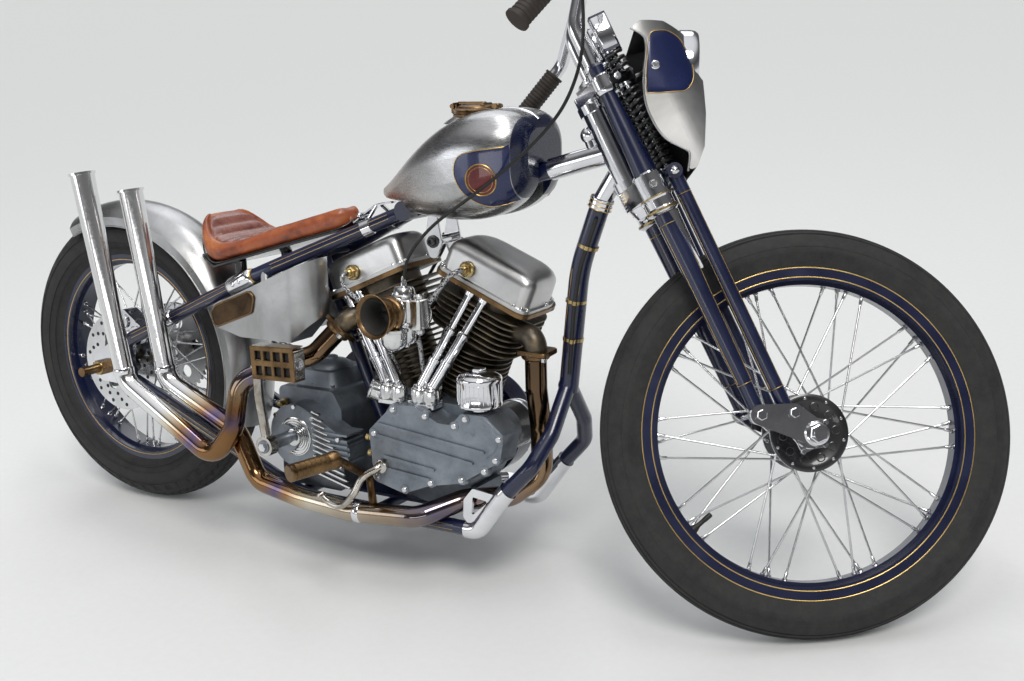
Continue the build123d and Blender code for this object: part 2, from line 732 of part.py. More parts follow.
def finned_cylinder(side):
    """One barrel and head: turned fins below, squared fins and ports above."""
    base = bank_plane(side, DECK + SEAT_GAP)
    with BuildPart() as cylinder:
        with BuildSketch(base):
            Circle(BARREL_RADIUS + 10)
        extrude(amount=8)
        with BuildSketch(base):
            Circle(BARREL_RADIUS)
        extrude(amount=HEAD_START - DECK)
        for fin in range(BARREL_FINS):
            with BuildSketch(base.offset(16 + fin * FIN_PITCH)):
                Circle(FIN_RADIUS)
            extrude(amount=FIN_THICKNESS)
        with BuildSketch(bank_plane(side, HEAD_START)):
            RectangleRounded(118, 104, 34)
        extrude(amount=COVER_START - HEAD_START - SEAT_GAP - 8)
        for fin in range(HEAD_FINS):
            with BuildSketch(bank_plane(side, HEAD_START + 4 + fin * (FIN_PITCH + 1))):
                RectangleRounded(186 + 2 * fin, 138, 44)
            extrude(amount=FIN_THICKNESS)
        with BuildSketch(bank_plane(side, COVER_START - 9)):
            RectangleRounded(COVER_LENGTH + 4, COVER_WIDTH + 6, 30)
        extrude(amount=9 - SEAT_GAP)
        add(port_elbow(side))
        with BuildSketch(Plane.XZ.offset(34)):
            with Locations((CARBURETTOR[0], CARBURETTOR[2])):
                Circle(19.0 + SEAT_GAP)
        extrude(amount=100, mode=Mode.SUBTRACT)
        for start, end in pushrod_lines(side):
            reach = (end - start).normalized()
            add(tube([start, end + reach * SEAT_GAP], PUSHROD_TUBE + SEAT_GAP), mode=Mode.SUBTRACT)
        keep = 4000
        with Locations((CRANK[0] - side * keep / 2 + side * 1.2, 0, CRANK[1])):
            Box(keep, keep, keep, mode=Mode.SUBTRACT)
    return cylinder.part


def port_elbow(side):
    """The stub out of the head that the exhaust's first run butts against."""
    pipe = FRONT_PIPE if side > 0 else REAR_PIPE
    face, after = Vector(*pipe[0]), Vector(*pipe[1])
    run = (after - face).normalized()
    stub = face - run * SEAT_GAP
    corner = stub - run * 30
    inside = bank_plane(side, HEAD_START + 34).origin
    with BuildPart() as elbow:
        add(tube([inside, corner, stub], PIPE + 1, 22.0))
        add(tube([stub - run * 8, stub], PIPE + 6))
    return elbow.part


def cylinders():
    with BuildPart() as pair:
        add(finned_cylinder(1))
        add(finned_cylinder(-1))
    return pair.part


def rocker_covers():
    with BuildPart() as covers:
        for side in (-1, 1):
            with BuildSketch(bank_plane(side, COVER_START)):
                RectangleRounded(COVER_LENGTH + 4, COVER_WIDTH + 6, 30)
            extrude(amount=7)
            with BuildSketch(bank_plane(side, COVER_START + 6)):
                RectangleRounded(COVER_LENGTH, COVER_WIDTH, 27)
            extrude(amount=COVER_HEIGHT - 6, taper=6)
    return covers.part


def pushrod_lines(side):
    """Both tubes' ends on one cylinder: in the tappet block and in the head."""
    lines = []
    seat_plane = bank_plane(side, COVER_START - 5)
    for step in (-1, 1):
        start = Vector(CRANK[0] + side * 36 + 13 * step, -115, 372)
        end = seat_plane.from_local_coords(Vector(side * 22 - 25 + step * 16, -56, 0))
        lines.append((start, end))
    return lines


def pushrod_tubes():
    """Two tappet blocks, each with its two tubes up to the head."""
    with BuildPart() as made:
        for side in (1, -1):
            for start, end in pushrod_lines(side):
                add(tube([start, end], PUSHROD_TUBE))
            with Locations((CRANK[0] + side * 36, -115, 360)):
                Box(54, 34, 42)
        with BuildSketch(Plane.XZ.offset(80)):
            with BuildLine():
                FilletPolyline(*CAM_OUTLINE, radius=13, close=True)
            make_face()
            offset(amount=SEAT_GAP)
        extrude(amount=90, mode=Mode.SUBTRACT)
    return made.part


CARBURETTOR = (822.0, -128.0, 512.0)


def carburettor():
    """Carburettor body between the banks with its bell mouth and inlet manifold."""
    centre = Vector(*CARBURETTOR)
    with BuildPart() as made:
        with Locations(centre):
            Box(56, 52, 70)
        with Locations(centre + Vector(0, 0, 42)):
            Cylinder(20, 26)
        with Locations(centre + Vector(0, 0, -46)):
            Cylinder(24, 26)
        add(tube([centre + Vector(0, 20, 0), Vector(CARBURETTOR[0], -34 - SEAT_GAP, CARBURETTOR[2])], 19.0))
        add(bell_mouth(centre + Vector(-6, -20, 8)))
    return made.part


def bell_mouth(start):
    """The open trumpet on the carburettor, pointing out and back."""
    plane = Plane(origin=start, x_dir=(0, 0, 1), z_dir=(-0.36, -0.93, 0.0))
    steps = [(22, 0), (22, 16), (24, 34), (36, 52), (38, 52), (38, 54), (34, 54), (21, 34), (19, 16), (19, 6)]
    return stepped_round([(0, 0), *steps, (0, 6)][1:-1], plane)


def oil_filter():
    plane = Plane(origin=(976, -121, 351))
    steps = [(16, 0.1), (16, 7), (38, 7), (41, 11), (41, 66), (37, 73), (20, 77)]
    return stepped_round(steps, plane)


def generator():
    with BuildPart() as made:
        with BuildSketch(Plane.XZ.offset(CASE_HALF - SEAT_GAP)):
            with Locations(GENERATOR):
                Circle(GENERATOR_RADIUS)
        extrude(amount=-GENERATOR_LENGTH)
        with BuildSketch(Plane.XZ.offset(CASE_HALF - SEAT_GAP - GENERATOR_LENGTH)):
            with Locations(GENERATOR):
                Circle(GENERATOR_RADIUS - 7)
        extrude(amount=-5)
    return made.part


KICK_SHAFT = 13.0


def gearbox():
    """Gearbox case, its domed lid and the kick starter's finned end cover."""
    with BuildPart() as box:
        with BuildSketch(Plane.XZ.offset(-84)):
            with BuildLine():
                outline = [(474, 132), (632, 132), (632, 300), (612, 334), (474, 334)]
                FilletPolyline(*outline, radius=14, close=True)
            make_face()
        extrude(amount=176)
        with BuildSketch(Plane.XY.offset(334)):
            with Locations((546, -14)):
                RectangleRounded(112, 120, 22)
        extrude(amount=30, taper=14)
        with BuildSketch(Plane.XZ.offset(90)):
            with Locations((552, 248)):
                Circle(64.0)
            with Locations((652, 232)):
                Circle(34.0)
            make_hull()
        extrude(amount=48)
        for fin in range(6):
            with Locations((655, -118, 212 + fin * 11)):
                Box(60, 52, 4)
        with BuildSketch(Plane.XZ.offset(138)):
            with Locations((535, 244)):
                Circle(28.0)
        extrude(amount=8)
        with BuildSketch(Plane.XZ.offset(140)):
            with Locations((535, 244)):
                Circle(KICK_SHAFT)
        extrude(amount=74)
        with BuildSketch(Plane.XZ.offset(-CHAIN_LINE + CHAIN_WIDTH / 2)):
            with Locations(FRONT_SPROCKET_PLACE):
                Circle(FRONT_SPROCKET_RADIUS - CHAIN_HALF_HEIGHT - SEAT_GAP)
        extrude(amount=-CHAIN_WIDTH)
    return box.part


def kick_lever():
    """Kick starter crank with its ladder-shaped pedal folded forward."""
    with BuildPart() as lever:
        with BuildSketch(Plane.XZ.offset(190)):
            with Locations((535, 244)):
                Circle(20.0)
                Circle(KICK_SHAFT + SEAT_GAP, mode=Mode.SUBTRACT)
        extrude(amount=22)
        add(tube([(533, -201, 262), (524, -204, 340), (528, -208, 408)], 9.5, 80.0))
        with BuildSketch(Plane.XZ.offset(200)):
            with Locations((588, 418)):
                RectangleRounded(104, 62, 6, rotation=-2)
                with GridLocations(23, 30, 4, 2):
                    Rectangle(17, 20, mode=Mode.SUBTRACT)
        extrude(amount=30)
    return lever.part


def primary_cover():
    """Enclosed primary drive on the left, in one tin case."""
    with BuildPart() as cover:
        with BuildSketch(Plane.XZ.offset(-104)):
            with Locations(CRANK):
                Circle(106.0)
            with Locations(FRONT_SPROCKET_PLACE):
                Circle(118.0)
            make_hull()
        extrude(amount=-66)
        fillet(cover.faces().sort_by(Axis.Y)[-1].edges(), 16)
        with BuildSketch(Plane.XZ.offset(-169)):
            with Locations(FRONT_SPROCKET_PLACE):
                Circle(78.0)
        extrude(amount=-8, taper=10)
        with BuildSketch(Plane.XZ.offset(-CASE_HALF - SEAT_GAP)):
            with Locations(CRANK):
                Circle(60.0)
        extrude(amount=CASE_HALF + SEAT_GAP - 104)
    return cover.part


def drive_chain():
    """The final chain as one loop, grooved inside where the rear teeth run."""
    rear = Vector(0, REAR_TYRE_RADIUS)
    front = Vector(*FRONT_SPROCKET_PLACE)

    def belt(grow):
        with BuildSketch(Plane.XZ.offset(-CHAIN_LINE - CHAIN_WIDTH / 2)) as outline:
            with Locations(rear):
                Circle(REAR_SPROCKET_RADIUS + grow)
            with Locations(front):
                Circle(FRONT_SPROCKET_RADIUS + grow)
            make_hull()
        return outline.sketch

    with BuildPart() as chain:
        extrude(to_extrude=belt(CHAIN_HALF_HEIGHT), amount=CHAIN_WIDTH)
        extrude(to_extrude=belt(-CHAIN_HALF_HEIGHT), amount=CHAIN_WIDTH, mode=Mode.SUBTRACT)
        groove = Plane.XZ.offset(-CHAIN_LINE - SPROCKET_THICKNESS / 2 - 1)
        with BuildSketch(groove):
            with Locations(rear):
                Circle(REAR_SPROCKET_RADIUS + 4.6)
        extrude(amount=SPROCKET_THICKNESS + 2, mode=Mode.SUBTRACT)
    return chain.part


# Exhaust: each is one pipe with an open, slightly flared end

PIPE = 20.0
TIP = PIPE + 4.5
TIP_LIP = 3.0
INNER_PIPE_LINE = -(AXLE_PLATE_HALF + FRAME_TUBE + PIPE + 4.0)
OUTER_PIPE_LINE = INNER_PIPE_LINE - 2 * PIPE - 5.0
OVER_RAIL = RAIL_HEIGHT + FRAME_TUBE + PIPE - 3.0
FRONT_PIPE = [
    (1048, -44, 446), (1046, -40, 380), (1044, -22, 300), (1044, -20, 212), (1000, -62, 174),
    (918, -91, OVER_RAIL + 18), (850, -152, OVER_RAIL - 10), (700, -164, 127),
    (580, -164, 134), (466, -160, 150),
    (414, INNER_PIPE_LINE, 246), (226, INNER_PIPE_LINE, 330), (164, INNER_PIPE_LINE, 722),
]
REAR_PIPE = [
    (636, -92, 462), (598, -122, 414), (516, -156, 388), (458, -186, 358), (450, OUTER_PIPE_LINE, 268),
    (388, OUTER_PIPE_LINE, 196), (154, OUTER_PIPE_LINE, 329), (77, OUTER_PIPE_LINE, 757),
]


def exhaust(points, bends):
    """A pipe whose last run opens out to the tip, which is bored."""
    last, tip = Vector(*points[-2]), Vector(*points[-1])
    rise = (tip - last).normalized()
    start = last + rise * 90
    with BuildPart() as pipe:
        with BuildLine() as route:
            FilletPolyline(*[Vector(*point) for point in points[:-1]], start, radius=bends)
        with BuildSketch(Plane(origin=route.line @ 0, z_dir=route.line % 0)):
            Circle(PIPE)
        sweep()
        with BuildSketch(Plane(origin=start, z_dir=rise)):
            Circle(PIPE)
        with BuildSketch(Plane(origin=tip, z_dir=rise)):
            Circle(TIP)
        loft()
        with BuildSketch(Plane(origin=tip - rise * 5, z_dir=rise)):
            Circle(TIP + TIP_LIP)
        extrude(amount=5)
        with BuildSketch(Plane(origin=tip - rise * 120, z_dir=rise)):
            Circle(PIPE)
        extrude(amount=121, mode=Mode.SUBTRACT)
    return pipe.part


# Controls and brackets


def foot_controls():
    """Right peg and brake pedal, left peg and shift lever, each on a short bar from the rail."""
    with BuildPart() as made:
        for side in (-1, 1):
            rail_face = RAIL_HALF + FRAME_TUBE + SEAT_GAP
            foot = Vector(688, side * rail_face, 118)
            if side < 0:
                top = RAIL_HEIGHT + FRAME_TUBE + SEAT_GAP
                add(tube([(716, -112, top), (716, -118, 184), (724, -190, 228), (724, -226, 252)], 8.0, 14.0))
                add(tube([(724, -220, 250), (690, -318, 245)], 15.0))
            else:
                add(tube([foot + Vector(-70, 0, -3), foot + Vector(-70, 8, -3)], 10.0))
                add(tube([(618, 128, 116), (618, 142, 128), (618, 200, 130), (640, 226, 206)], 8.0, 14.0))
                add(tube([(640, 222, 206), (634, 326, 214)], 15.0))
    return made.part


AXLE_LEFT = 160.0
AXLE_RIGHT = 186.0


def rear_axle():
    with BuildPart() as axle:
        with BuildSketch(Plane.XZ.offset(-AXLE_LEFT)):
            with Locations((0, REAR_TYRE_RADIUS)):
                Circle(AXLE_RADIUS)
        extrude(amount=AXLE_LEFT + AXLE_RIGHT)
        for start, depth in ((AXLE_PLATE_HALF + 6 + SEAT_GAP, 16), (-AXLE_PLATE_HALF - 22 - SEAT_GAP, 16)):
            with BuildSketch(Plane.XZ.offset(start)):
                with Locations((0, REAR_TYRE_RADIUS)):
                    RegularPolygon(17, 6)
            extrude(amount=depth)
        right_face = -REAR_HUB_LENGTH / 2 - 5 - SEAT_GAP
        spacer = AXLE_PLATE_HALF - 6 - SEAT_GAP + right_face
        with BuildSketch(Plane.XZ.offset(-right_face)):
            with Locations((0, REAR_TYRE_RADIUS)):
                Circle(16)
        extrude(amount=spacer)
        with BuildSketch(Plane.XZ.offset(-(CHAIN_LINE + SPROCKET_THICKNESS / 2 + SEAT_GAP))):
            with Locations((0, REAR_TYRE_RADIUS)):
                Circle(16)
        extrude(amount=-(AXLE_PLATE_HALF - 6 - SEAT_GAP - CHAIN_LINE - SPROCKET_THICKNESS / 2 - SEAT_GAP))
    return axle.part


def brake_caliper():
    """Rear caliper straddling the disc above the axle, on an arm from the axle spacer's plate."""
    with BuildPart() as caliper:
        with BuildSketch(Plane.XZ.offset(-BRAKE_DISC_LINE - 18)):
            with Locations((58, REAR_TYRE_RADIUS + 87)):
                RectangleRounded(84, 44, 12, rotation=-35)
        extrude(amount=36)
        with BuildSketch(Plane.XZ.offset(-BRAKE_DISC_LINE + 18)):
            with Locations((40, REAR_TYRE_RADIUS + 65)):
                Circle(13)
            with Locations((56, REAR_TYRE_RADIUS + 29)):
                Circle(12)
            make_hull()
        extrude(amount=AXLE_PLATE_HALF - 6 - SEAT_GAP + BRAKE_DISC_LINE - 18)
        with BuildSketch(Plane.XZ.offset(-BRAKE_DISC_LINE - 4.5)):
            with Locations((0, REAR_TYRE_RADIUS)):
                Circle(BRAKE_DISC_RADIUS + 4)
        extrude(amount=9, mode=Mode.SUBTRACT)
    return caliper.part


# Fork pieces, made about the steering axis


def fork_stem():
    """Steering stem with the lower crown, the top clamp and its spring perch."""
    leg_x, leg_y = RIGID_LEG_PLACE
    with BuildPart() as stem:
        with BuildSketch(Plane.XY.offset(CROWN_BOTTOM)):
            Circle(29.0)
            with Locations((leg_x, leg_y), (leg_x, -leg_y)):
                Circle(LEG_AT_CROWN + 6.5)
            make_hull()
            with Locations((leg_x, leg_y), (leg_x, -leg_y)):
                Circle(LEG_AT_CROWN + SEAT_GAP, mode=Mode.SUBTRACT)
        extrude(amount=CROWN_TOP - CROWN_BOTTOM)
        with BuildSketch(Plane.XY.offset(CLAMP_BOTTOM)):
            Circle(29.0)
            with Locations((leg_x, leg_y), (leg_x, -leg_y)):
                Circle(LEG_AT_CLAMP + 7)
            with Locations((SPRING_LEG_PLACE, SPRING_HALF), (SPRING_LEG_PLACE, -SPRING_HALF)):
                Circle(CLAMP_EAR)
            make_hull()
            with Locations((leg_x, leg_y), (leg_x, -leg_y)):
                Circle(LEG_AT_CLAMP + SEAT_GAP, mode=Mode.SUBTRACT)
            with Locations((SPRING_LEG_PLACE, SPRING_HALF), (SPRING_LEG_PLACE, -SPRING_HALF)):
                Circle(SPRING_ROD + SEAT_GAP, mode=Mode.SUBTRACT)
        extrude(amount=CLAMP_TOP - CLAMP_BOTTOM)
        with BuildSketch(Plane.XY.offset(CROWN_BOTTOM)):
            Circle(STEM_RADIUS)
        extrude(amount=CLAMP_TOP - CROWN_BOTTOM + 14)
        with BuildSketch(Plane.XY.offset(CLAMP_TOP)):
            RegularPolygon(20, 6)
        extrude(amount=11)
    return stem.part


def fork_legs():
    """Rigid rear legs: slim at the top, broad at the crown, tapering down to the rocker eye."""
    leg_x, leg_y = RIGID_LEG_PLACE
    steps = [
        (12.4, REAR_PIVOT[1]), (12.4, REAR_PIVOT[1] + 40), (15.5, 300), (19, 430), (LEG_AT_CROWN, 450),
        (LEG_AT_CROWN, CROWN_TOP + 8), (LEG_AT_CLAMP, CLAMP_BOTTOM - 6), (LEG_AT_CLAMP, CLAMP_TOP + 22),
        (8, CLAMP_TOP + 28),
    ]
    eye_inner = ROCKER_INNER - SEAT_GAP - 24
    with BuildPart() as leg:
        add(stepped_round(steps, Plane(origin=(leg_x, -leg_y, 0))))
        with BuildSketch(Plane.XZ.offset(eye_inner)):
            with Locations(REAR_PIVOT):
                Circle(16.0)
        extrude(amount=24)
        with BuildSketch(Plane.XZ.offset(eye_inner - 1)):
            with Locations(REAR_PIVOT):
                Circle(PIVOT_PIN + SEAT_GAP)
        extrude(amount=40, mode=Mode.SUBTRACT)
    return both_sides(leg.part)


def spring_legs():
    """Sprung front legs with their yoke, and the chrome cap blocks above the springs."""
    eye_inner = ROCKER_INNER - SEAT_GAP - 24
    with BuildPart() as legs:
        with BuildSketch(Plane.XZ.offset(-RIGID_LEG_PLACE[1] - 14)):
            with Locations((SPRING_LEG_PLACE, YOKE_HEIGHT)):
                Circle(YOKE_RADIUS)
        extrude(amount=2 * RIGID_LEG_PLACE[1] + 28)
        for side in (-1, 1):
            with BuildSketch(Plane.XY.offset(FRONT_PIVOT[1])):
                with Locations((SPRING_LEG_PLACE, side * RIGID_LEG_PLACE[1])):
                    Circle(SPRING_LEG)
            extrude(amount=YOKE_HEIGHT - FRONT_PIVOT[1])
            with BuildSketch(Plane.XZ.offset(eye_inner if side < 0 else -eye_inner - 24)):
                with Locations(FRONT_PIVOT):
                    Circle(14.0)
            extrude(amount=24)
            with BuildSketch(Plane.XY.offset(YOKE_HEIGHT)):
                with Locations((SPRING_LEG_PLACE, side * SPRING_HALF)):
                    Circle(PERCH_RADIUS)
            extrude(amount=YOKE_RADIUS)
        with BuildSketch(Plane.XZ.offset(-130)):
            with Locations(FRONT_PIVOT):
                Circle(PIVOT_PIN + SEAT_GAP)
        extrude(amount=260, mode=Mode.SUBTRACT)
        cap_start = CLAMP_TOP + 44 + SEAT_GAP
        with BuildSketch(Plane.XY.offset(cap_start)):
            with Locations((SPRING_LEG_PLACE, SPRING_HALF), (SPRING_LEG_PLACE, -SPRING_HALF)):
                RectangleRounded(30, 24, 3)
        extrude(amount=CAP_HEIGHT)
        fillet(legs.edges().sort_by(Axis.Z)[-8:], 6)
    return legs.part


def fork_springs():
    """A long compression spring and a short rebound spring on one rod, each side."""
    inner = SPRING_RADIUS - 4.5
    low = YOKE_HEIGHT + YOKE_RADIUS + SEAT_GAP

    def coils(start, end):
        turns = round((end - start) / SPRING_PITCH)
        pitch = (end - start) / turns
        steps = []
        for turn in range(turns):
            z = start + turn * pitch
            steps += [(inner, z), (SPRING_RADIUS, z + 0.3 * pitch)]
            steps += [(SPRING_RADIUS, z + 0.7 * pitch), (inner, z + pitch)]
        return steps

    lower = coils(low, CLAMP_BOTTOM - SEAT_GAP)
    upper = coils(CLAMP_TOP + SEAT_GAP, CLAMP_TOP + 44)
    steps = []
    rod = [(SPRING_ROD, CLAMP_BOTTOM - SEAT_GAP), (SPRING_ROD, CLAMP_TOP + SEAT_GAP)]
    for point in [*lower, *rod, *upper]:
        if not steps or point != steps[-1]:
            steps.append(point)
    return both_sides(stepped_round(steps, Plane(origin=(SPRING_LEG_PLACE, -SPRING_HALF, 0))))


def fork_rockers():
    """Both rockers with their pivot pins, joined by the front axle."""
    with BuildPart() as rockers:
        for side in (-1, 1):
            start = ROCKER_INNER if side < 0 else -ROCKER_INNER - ROCKER_WIDTH
            with BuildSketch(Plane.XZ.offset(start)):
                with Locations(REAR_PIVOT):
                    Circle(17.0)
                with Locations(FRONT_PIVOT):
                    Circle(15.0)
                with Locations((FORK_OFFSET, 0)):
                    Circle(21.0)
                make_hull()
            extrude(amount=ROCKER_WIDTH)
            pins = ROCKER_INNER - 22
            with BuildSketch(Plane.XZ.offset(pins if side < 0 else -pins - 40)):
                with Locations(REAR_PIVOT, FRONT_PIVOT):
                    Circle(PIVOT_PIN)
            extrude(amount=40)
            spacer = FRONT_HUB_LENGTH / 2 + SEAT_GAP
            with BuildSketch(Plane.XZ.offset(spacer if side < 0 else -ROCKER_INNER - 1)):
                with Locations((FORK_OFFSET, 0)):
                    Circle(15.0)
            extrude(amount=ROCKER_INNER + 1 - spacer)
        reach = ROCKER_INNER + ROCKER_WIDTH + 24
        with BuildSketch(Plane.XZ.offset(-reach)):
            with Locations((FORK_OFFSET, 0)):
                Circle(AXLE_RADIUS)
        extrude(amount=2 * reach)
    return rockers.part


BAR_RADIUS = 12.7
BAR_POINTS = [
    (18, -40, CLAMP_TOP + SEAT_GAP), (18, -40, 782), (94, -46, 888), (104, -214, 904), (24, -312, 812),
    (-100, -338, 752),
]
GRIP_LENGTH = 118.0


def handlebar():
    """Bars that rise from two risers and sweep back and down to the grips."""
    end = Vector(*BAR_POINTS[-1])
    before = Vector(*BAR_POINTS[-2])
    run = (end - before).normalized()
    stop = end - run * (GRIP_LENGTH - 40)
    return both_sides(tube([*BAR_POINTS[:-1], stop], BAR_RADIUS, 45.0))


def handlebar_grips():
    end = Vector(*BAR_POINTS[-1])
    before = Vector(*BAR_POINTS[-2])
    run = (end - before).normalized()
    start = end - run * GRIP_LENGTH
    with BuildPart() as grip:
        add(tube([start, end], 17.0))
        add(tube([end, end + run * 5], 20.0))
        add(tube([start, start + run * 4], 19.0))
        socket = tube([start - run, start + run * (GRIP_LENGTH - 40 + SEAT_GAP)], BAR_RADIUS + SEAT_GAP)
        add(socket, mode=Mode.SUBTRACT)
    return both_sides(grip.part)


# The headlight shell's outline beside the wheel plane: (forward, up) about the steering axis
SHELL_REAR = [
    (77, 474), (92, 500), (84, 514), (66, 540), (60, 576),
    (64, 612), (80, 650), (100, 684), (106, 706), (92, 728),
]
SHELL_FRONT = [(112, 734), (150, 720), (182, 688), (190, 642), (170, 600), (148, 550), (120, 500), (94, 474)]
SHELL_FOOT = 474.0
SHELL_TOP = 731.0
SHELL_NOSE = 192.0
SHELL_SIDE = 100.0
SHELL_HALF = 98.0
SHELL_WALL = 3.0
LAMP_PLACE = (172.0, 640.0)
LAMP_RADIUS = 66.0
LAMP_BAR_HEIGHT = (CLAMP_BOTTOM + CLAMP_TOP) / 2


def lamp_plane(depth):
    """The plane across the headlight, whose axis is level when the bike is upright."""
    level = Vector(cos(radians(RAKE)), 0, -sin(radians(RAKE)))
    origin = Vector(LAMP_PLACE[0], 0, LAMP_PLACE[1]) + level * depth
    return Plane(origin=origin, x_dir=(0, 1, 0), z_dir=level)


def shell_body(outline, inset):
    """The shell's side outline cut round in plan, smaller all round by the inset."""
    half = SHELL_HALF - inset
    with BuildPart() as body:
        with BuildSketch(Plane.XZ.offset(-half)):
            with BuildLine():
                FilletPolyline(*outline, radius=6, close=True)
            make_face()
        extrude(amount=2 * half)
        with BuildSketch(Plane.XY.offset(SHELL_FOOT - 24)):
            with BuildLine():
                ThreePointArc((SHELL_SIDE, -half), (SHELL_NOSE - inset, 0), (SHELL_SIDE, half))
                Polyline((SHELL_SIDE, half), (0, half), (0, -half), (SHELL_SIDE, -half))
            make_face()
        extrude(amount=SHELL_TOP - SHELL_FOOT + 60, mode=Mode.INTERSECT)
    return body.part


def headlight_shell():
    """Open-backed shell round the springs that holds the headlight."""
    inside = [(x - SHELL_WALL, z - SHELL_WALL * 0.7) for x, z in SHELL_FRONT]
    with BuildPart() as shell:
        add(shell_body([*SHELL_REAR, *SHELL_FRONT], 0.0))
        add(shell_body([(40, SHELL_FOOT), (40, SHELL_TOP), *inside], SHELL_WALL), mode=Mode.SUBTRACT)
        with BuildSketch(lamp_plane(-70)):
            Circle(LAMP_RADIUS + SEAT_GAP)
        extrude(amount=160, mode=Mode.SUBTRACT)
    return shell.part


def headlight():
    with BuildPart() as lamp:
        with BuildSketch(lamp_plane(-52)):
            Circle(LAMP_RADIUS)
        extrude(amount=52)
        with BuildSketch(lamp_plane(0)):
            Circle(LAMP_RADIUS)
        extrude(amount=10, taper=30)
        clamp_face = SPRING_LEG_PLACE + CLAMP_EAR + SEAT_GAP
        add(tube([(clamp_face, 0, LAMP_BAR_HEIGHT), (LAMP_PLACE[0] - 30, 0, LAMP_BAR_HEIGHT)], 8.0))
    return lamp.part


# Placing: straight-ahead upright bike to the parked one


def tyre_bottom(place, centre, crown_radius, half_width):
    """Lowest point of a round-section tyre that turns about its own Y axis."""
    middle = (place * Pos(centre)).position
    side = (place * Pos(centre) * Pos(0, 1, 0)).position - middle
    return middle.Z - crown_radius * sqrt(1 - side.Z**2) - half_width


def placings():
    """Where the upright bike and its steered fork stand when parked."""

    def leaned(pitch):
        bike = Rotation(-PARKED_LEAN, 0, 0) * Rotation(0, pitch, 0)
        fork = bike * FORK.location * Rotation(0, 0, STEER_LOCK)
        rear = tyre_bottom(
            bike, (0, 0, REAR_TYRE_RADIUS), REAR_TYRE_RADIUS - REAR_TYRE_WIDTH / 2, REAR_TYRE_WIDTH / 2
        )
        wheel = fork * Pos(FORK_OFFSET, 0, 0)
        half = FRONT_TYRE_WIDTH / 2
        front = tyre_bottom(wheel, (0, 0, 0), FRONT_TYRE_RADIUS - half, half)
        return bike, fork, rear, front

    low, high = -3.0, 3.0
    for _ in range(40):
        middle = (low + high) / 2
        bike, fork, rear, front = leaned(middle)
        if front > rear:
            low = middle
        else:
            high = middle
    lift = Pos(-WHEELBASE / 2, 0, WORLD_FLOOR - rear)
    return lift * bike, lift * fork


# Side stand, made where it stands: its foot is flat on the floor

STAND_PIVOT = (690.0, 148.0, 97.0)
STAND_REACH = (56.0, 172.0)
STAND_TUBE = 10.0
STAND_PIN = 8.0


def stand_geometry(bike):
    """The stand's pivot, hinge axis and swing, worked out from where the foot stands."""
    pivot = (bike * Pos(STAND_PIVOT)).position
    foot = Vector(pivot.X + STAND_REACH[0], pivot.Y + STAND_REACH[1], WORLD_FLOOR)
    down = (foot - pivot).normalized()
    back = (bike * Pos(STAND_PIVOT) * Pos(-1, 0.08, 0.02)).position - pivot
    axis = down.cross(back.normalized()).normalized()
    swing = degrees(acos(down.dot(back.normalized())))
    return pivot, foot, axis, swing


def side_stand(bike):
    pivot, foot, axis, _ = stand_geometry(bike)
    down = (foot - pivot).normalized()
    with BuildPart() as stand:
        with BuildSketch(Plane(origin=pivot - axis * 7, z_dir=axis)):
            Circle(17.0)
            Circle(STAND_PIN + SEAT_GAP, mode=Mode.SUBTRACT)
        extrude(amount=14)
        add(tube([pivot + down * 15, foot + Vector(0, 0, STAND_TUBE)], STAND_TUBE))
        with BuildSketch(Plane(origin=foot, x_dir=(1, 0, 0), z_dir=(0, 0, 1))):
            SlotOverall(74, 46)
        extrude(amount=8)
    return stand.part


def stand_bracket(bike):
    """Forked bracket below the left rail that carries the stand's pin."""
    pivot, _, axis, _ = stand_geometry(bike)
    rail = bike * Pos(STAND_PIVOT[0], RAIL_HALF, RAIL_HEIGHT)
    with BuildPart() as bracket:
        for side in (-1, 1):
            cheek = Plane(origin=pivot + axis * (side * 14 - 3), x_dir=rail.position - pivot, z_dir=axis)
            seat_place = cheek.to_local_coords(rail.position)
            with BuildSketch(cheek):
                Circle(15.0)
                with Locations((seat_place.X, seat_place.Y)):
                    Circle(10.0)
                make_hull()
            extrude(amount=6)
        with BuildSketch(Plane(origin=pivot - axis * 22, z_dir=axis)):
            Circle(STAND_PIN)
        extrude(amount=44)
        past = Vector(60, 0, 0)
        on_rail = Vector(STAND_PIVOT[0], RAIL_HALF, RAIL_HEIGHT)
        clearance = tube([on_rail - past, on_rail + past], FRAME_TUBE + SEAT_GAP)
        add(bike * clearance, mode=Mode.SUBTRACT)
    return bracket.part


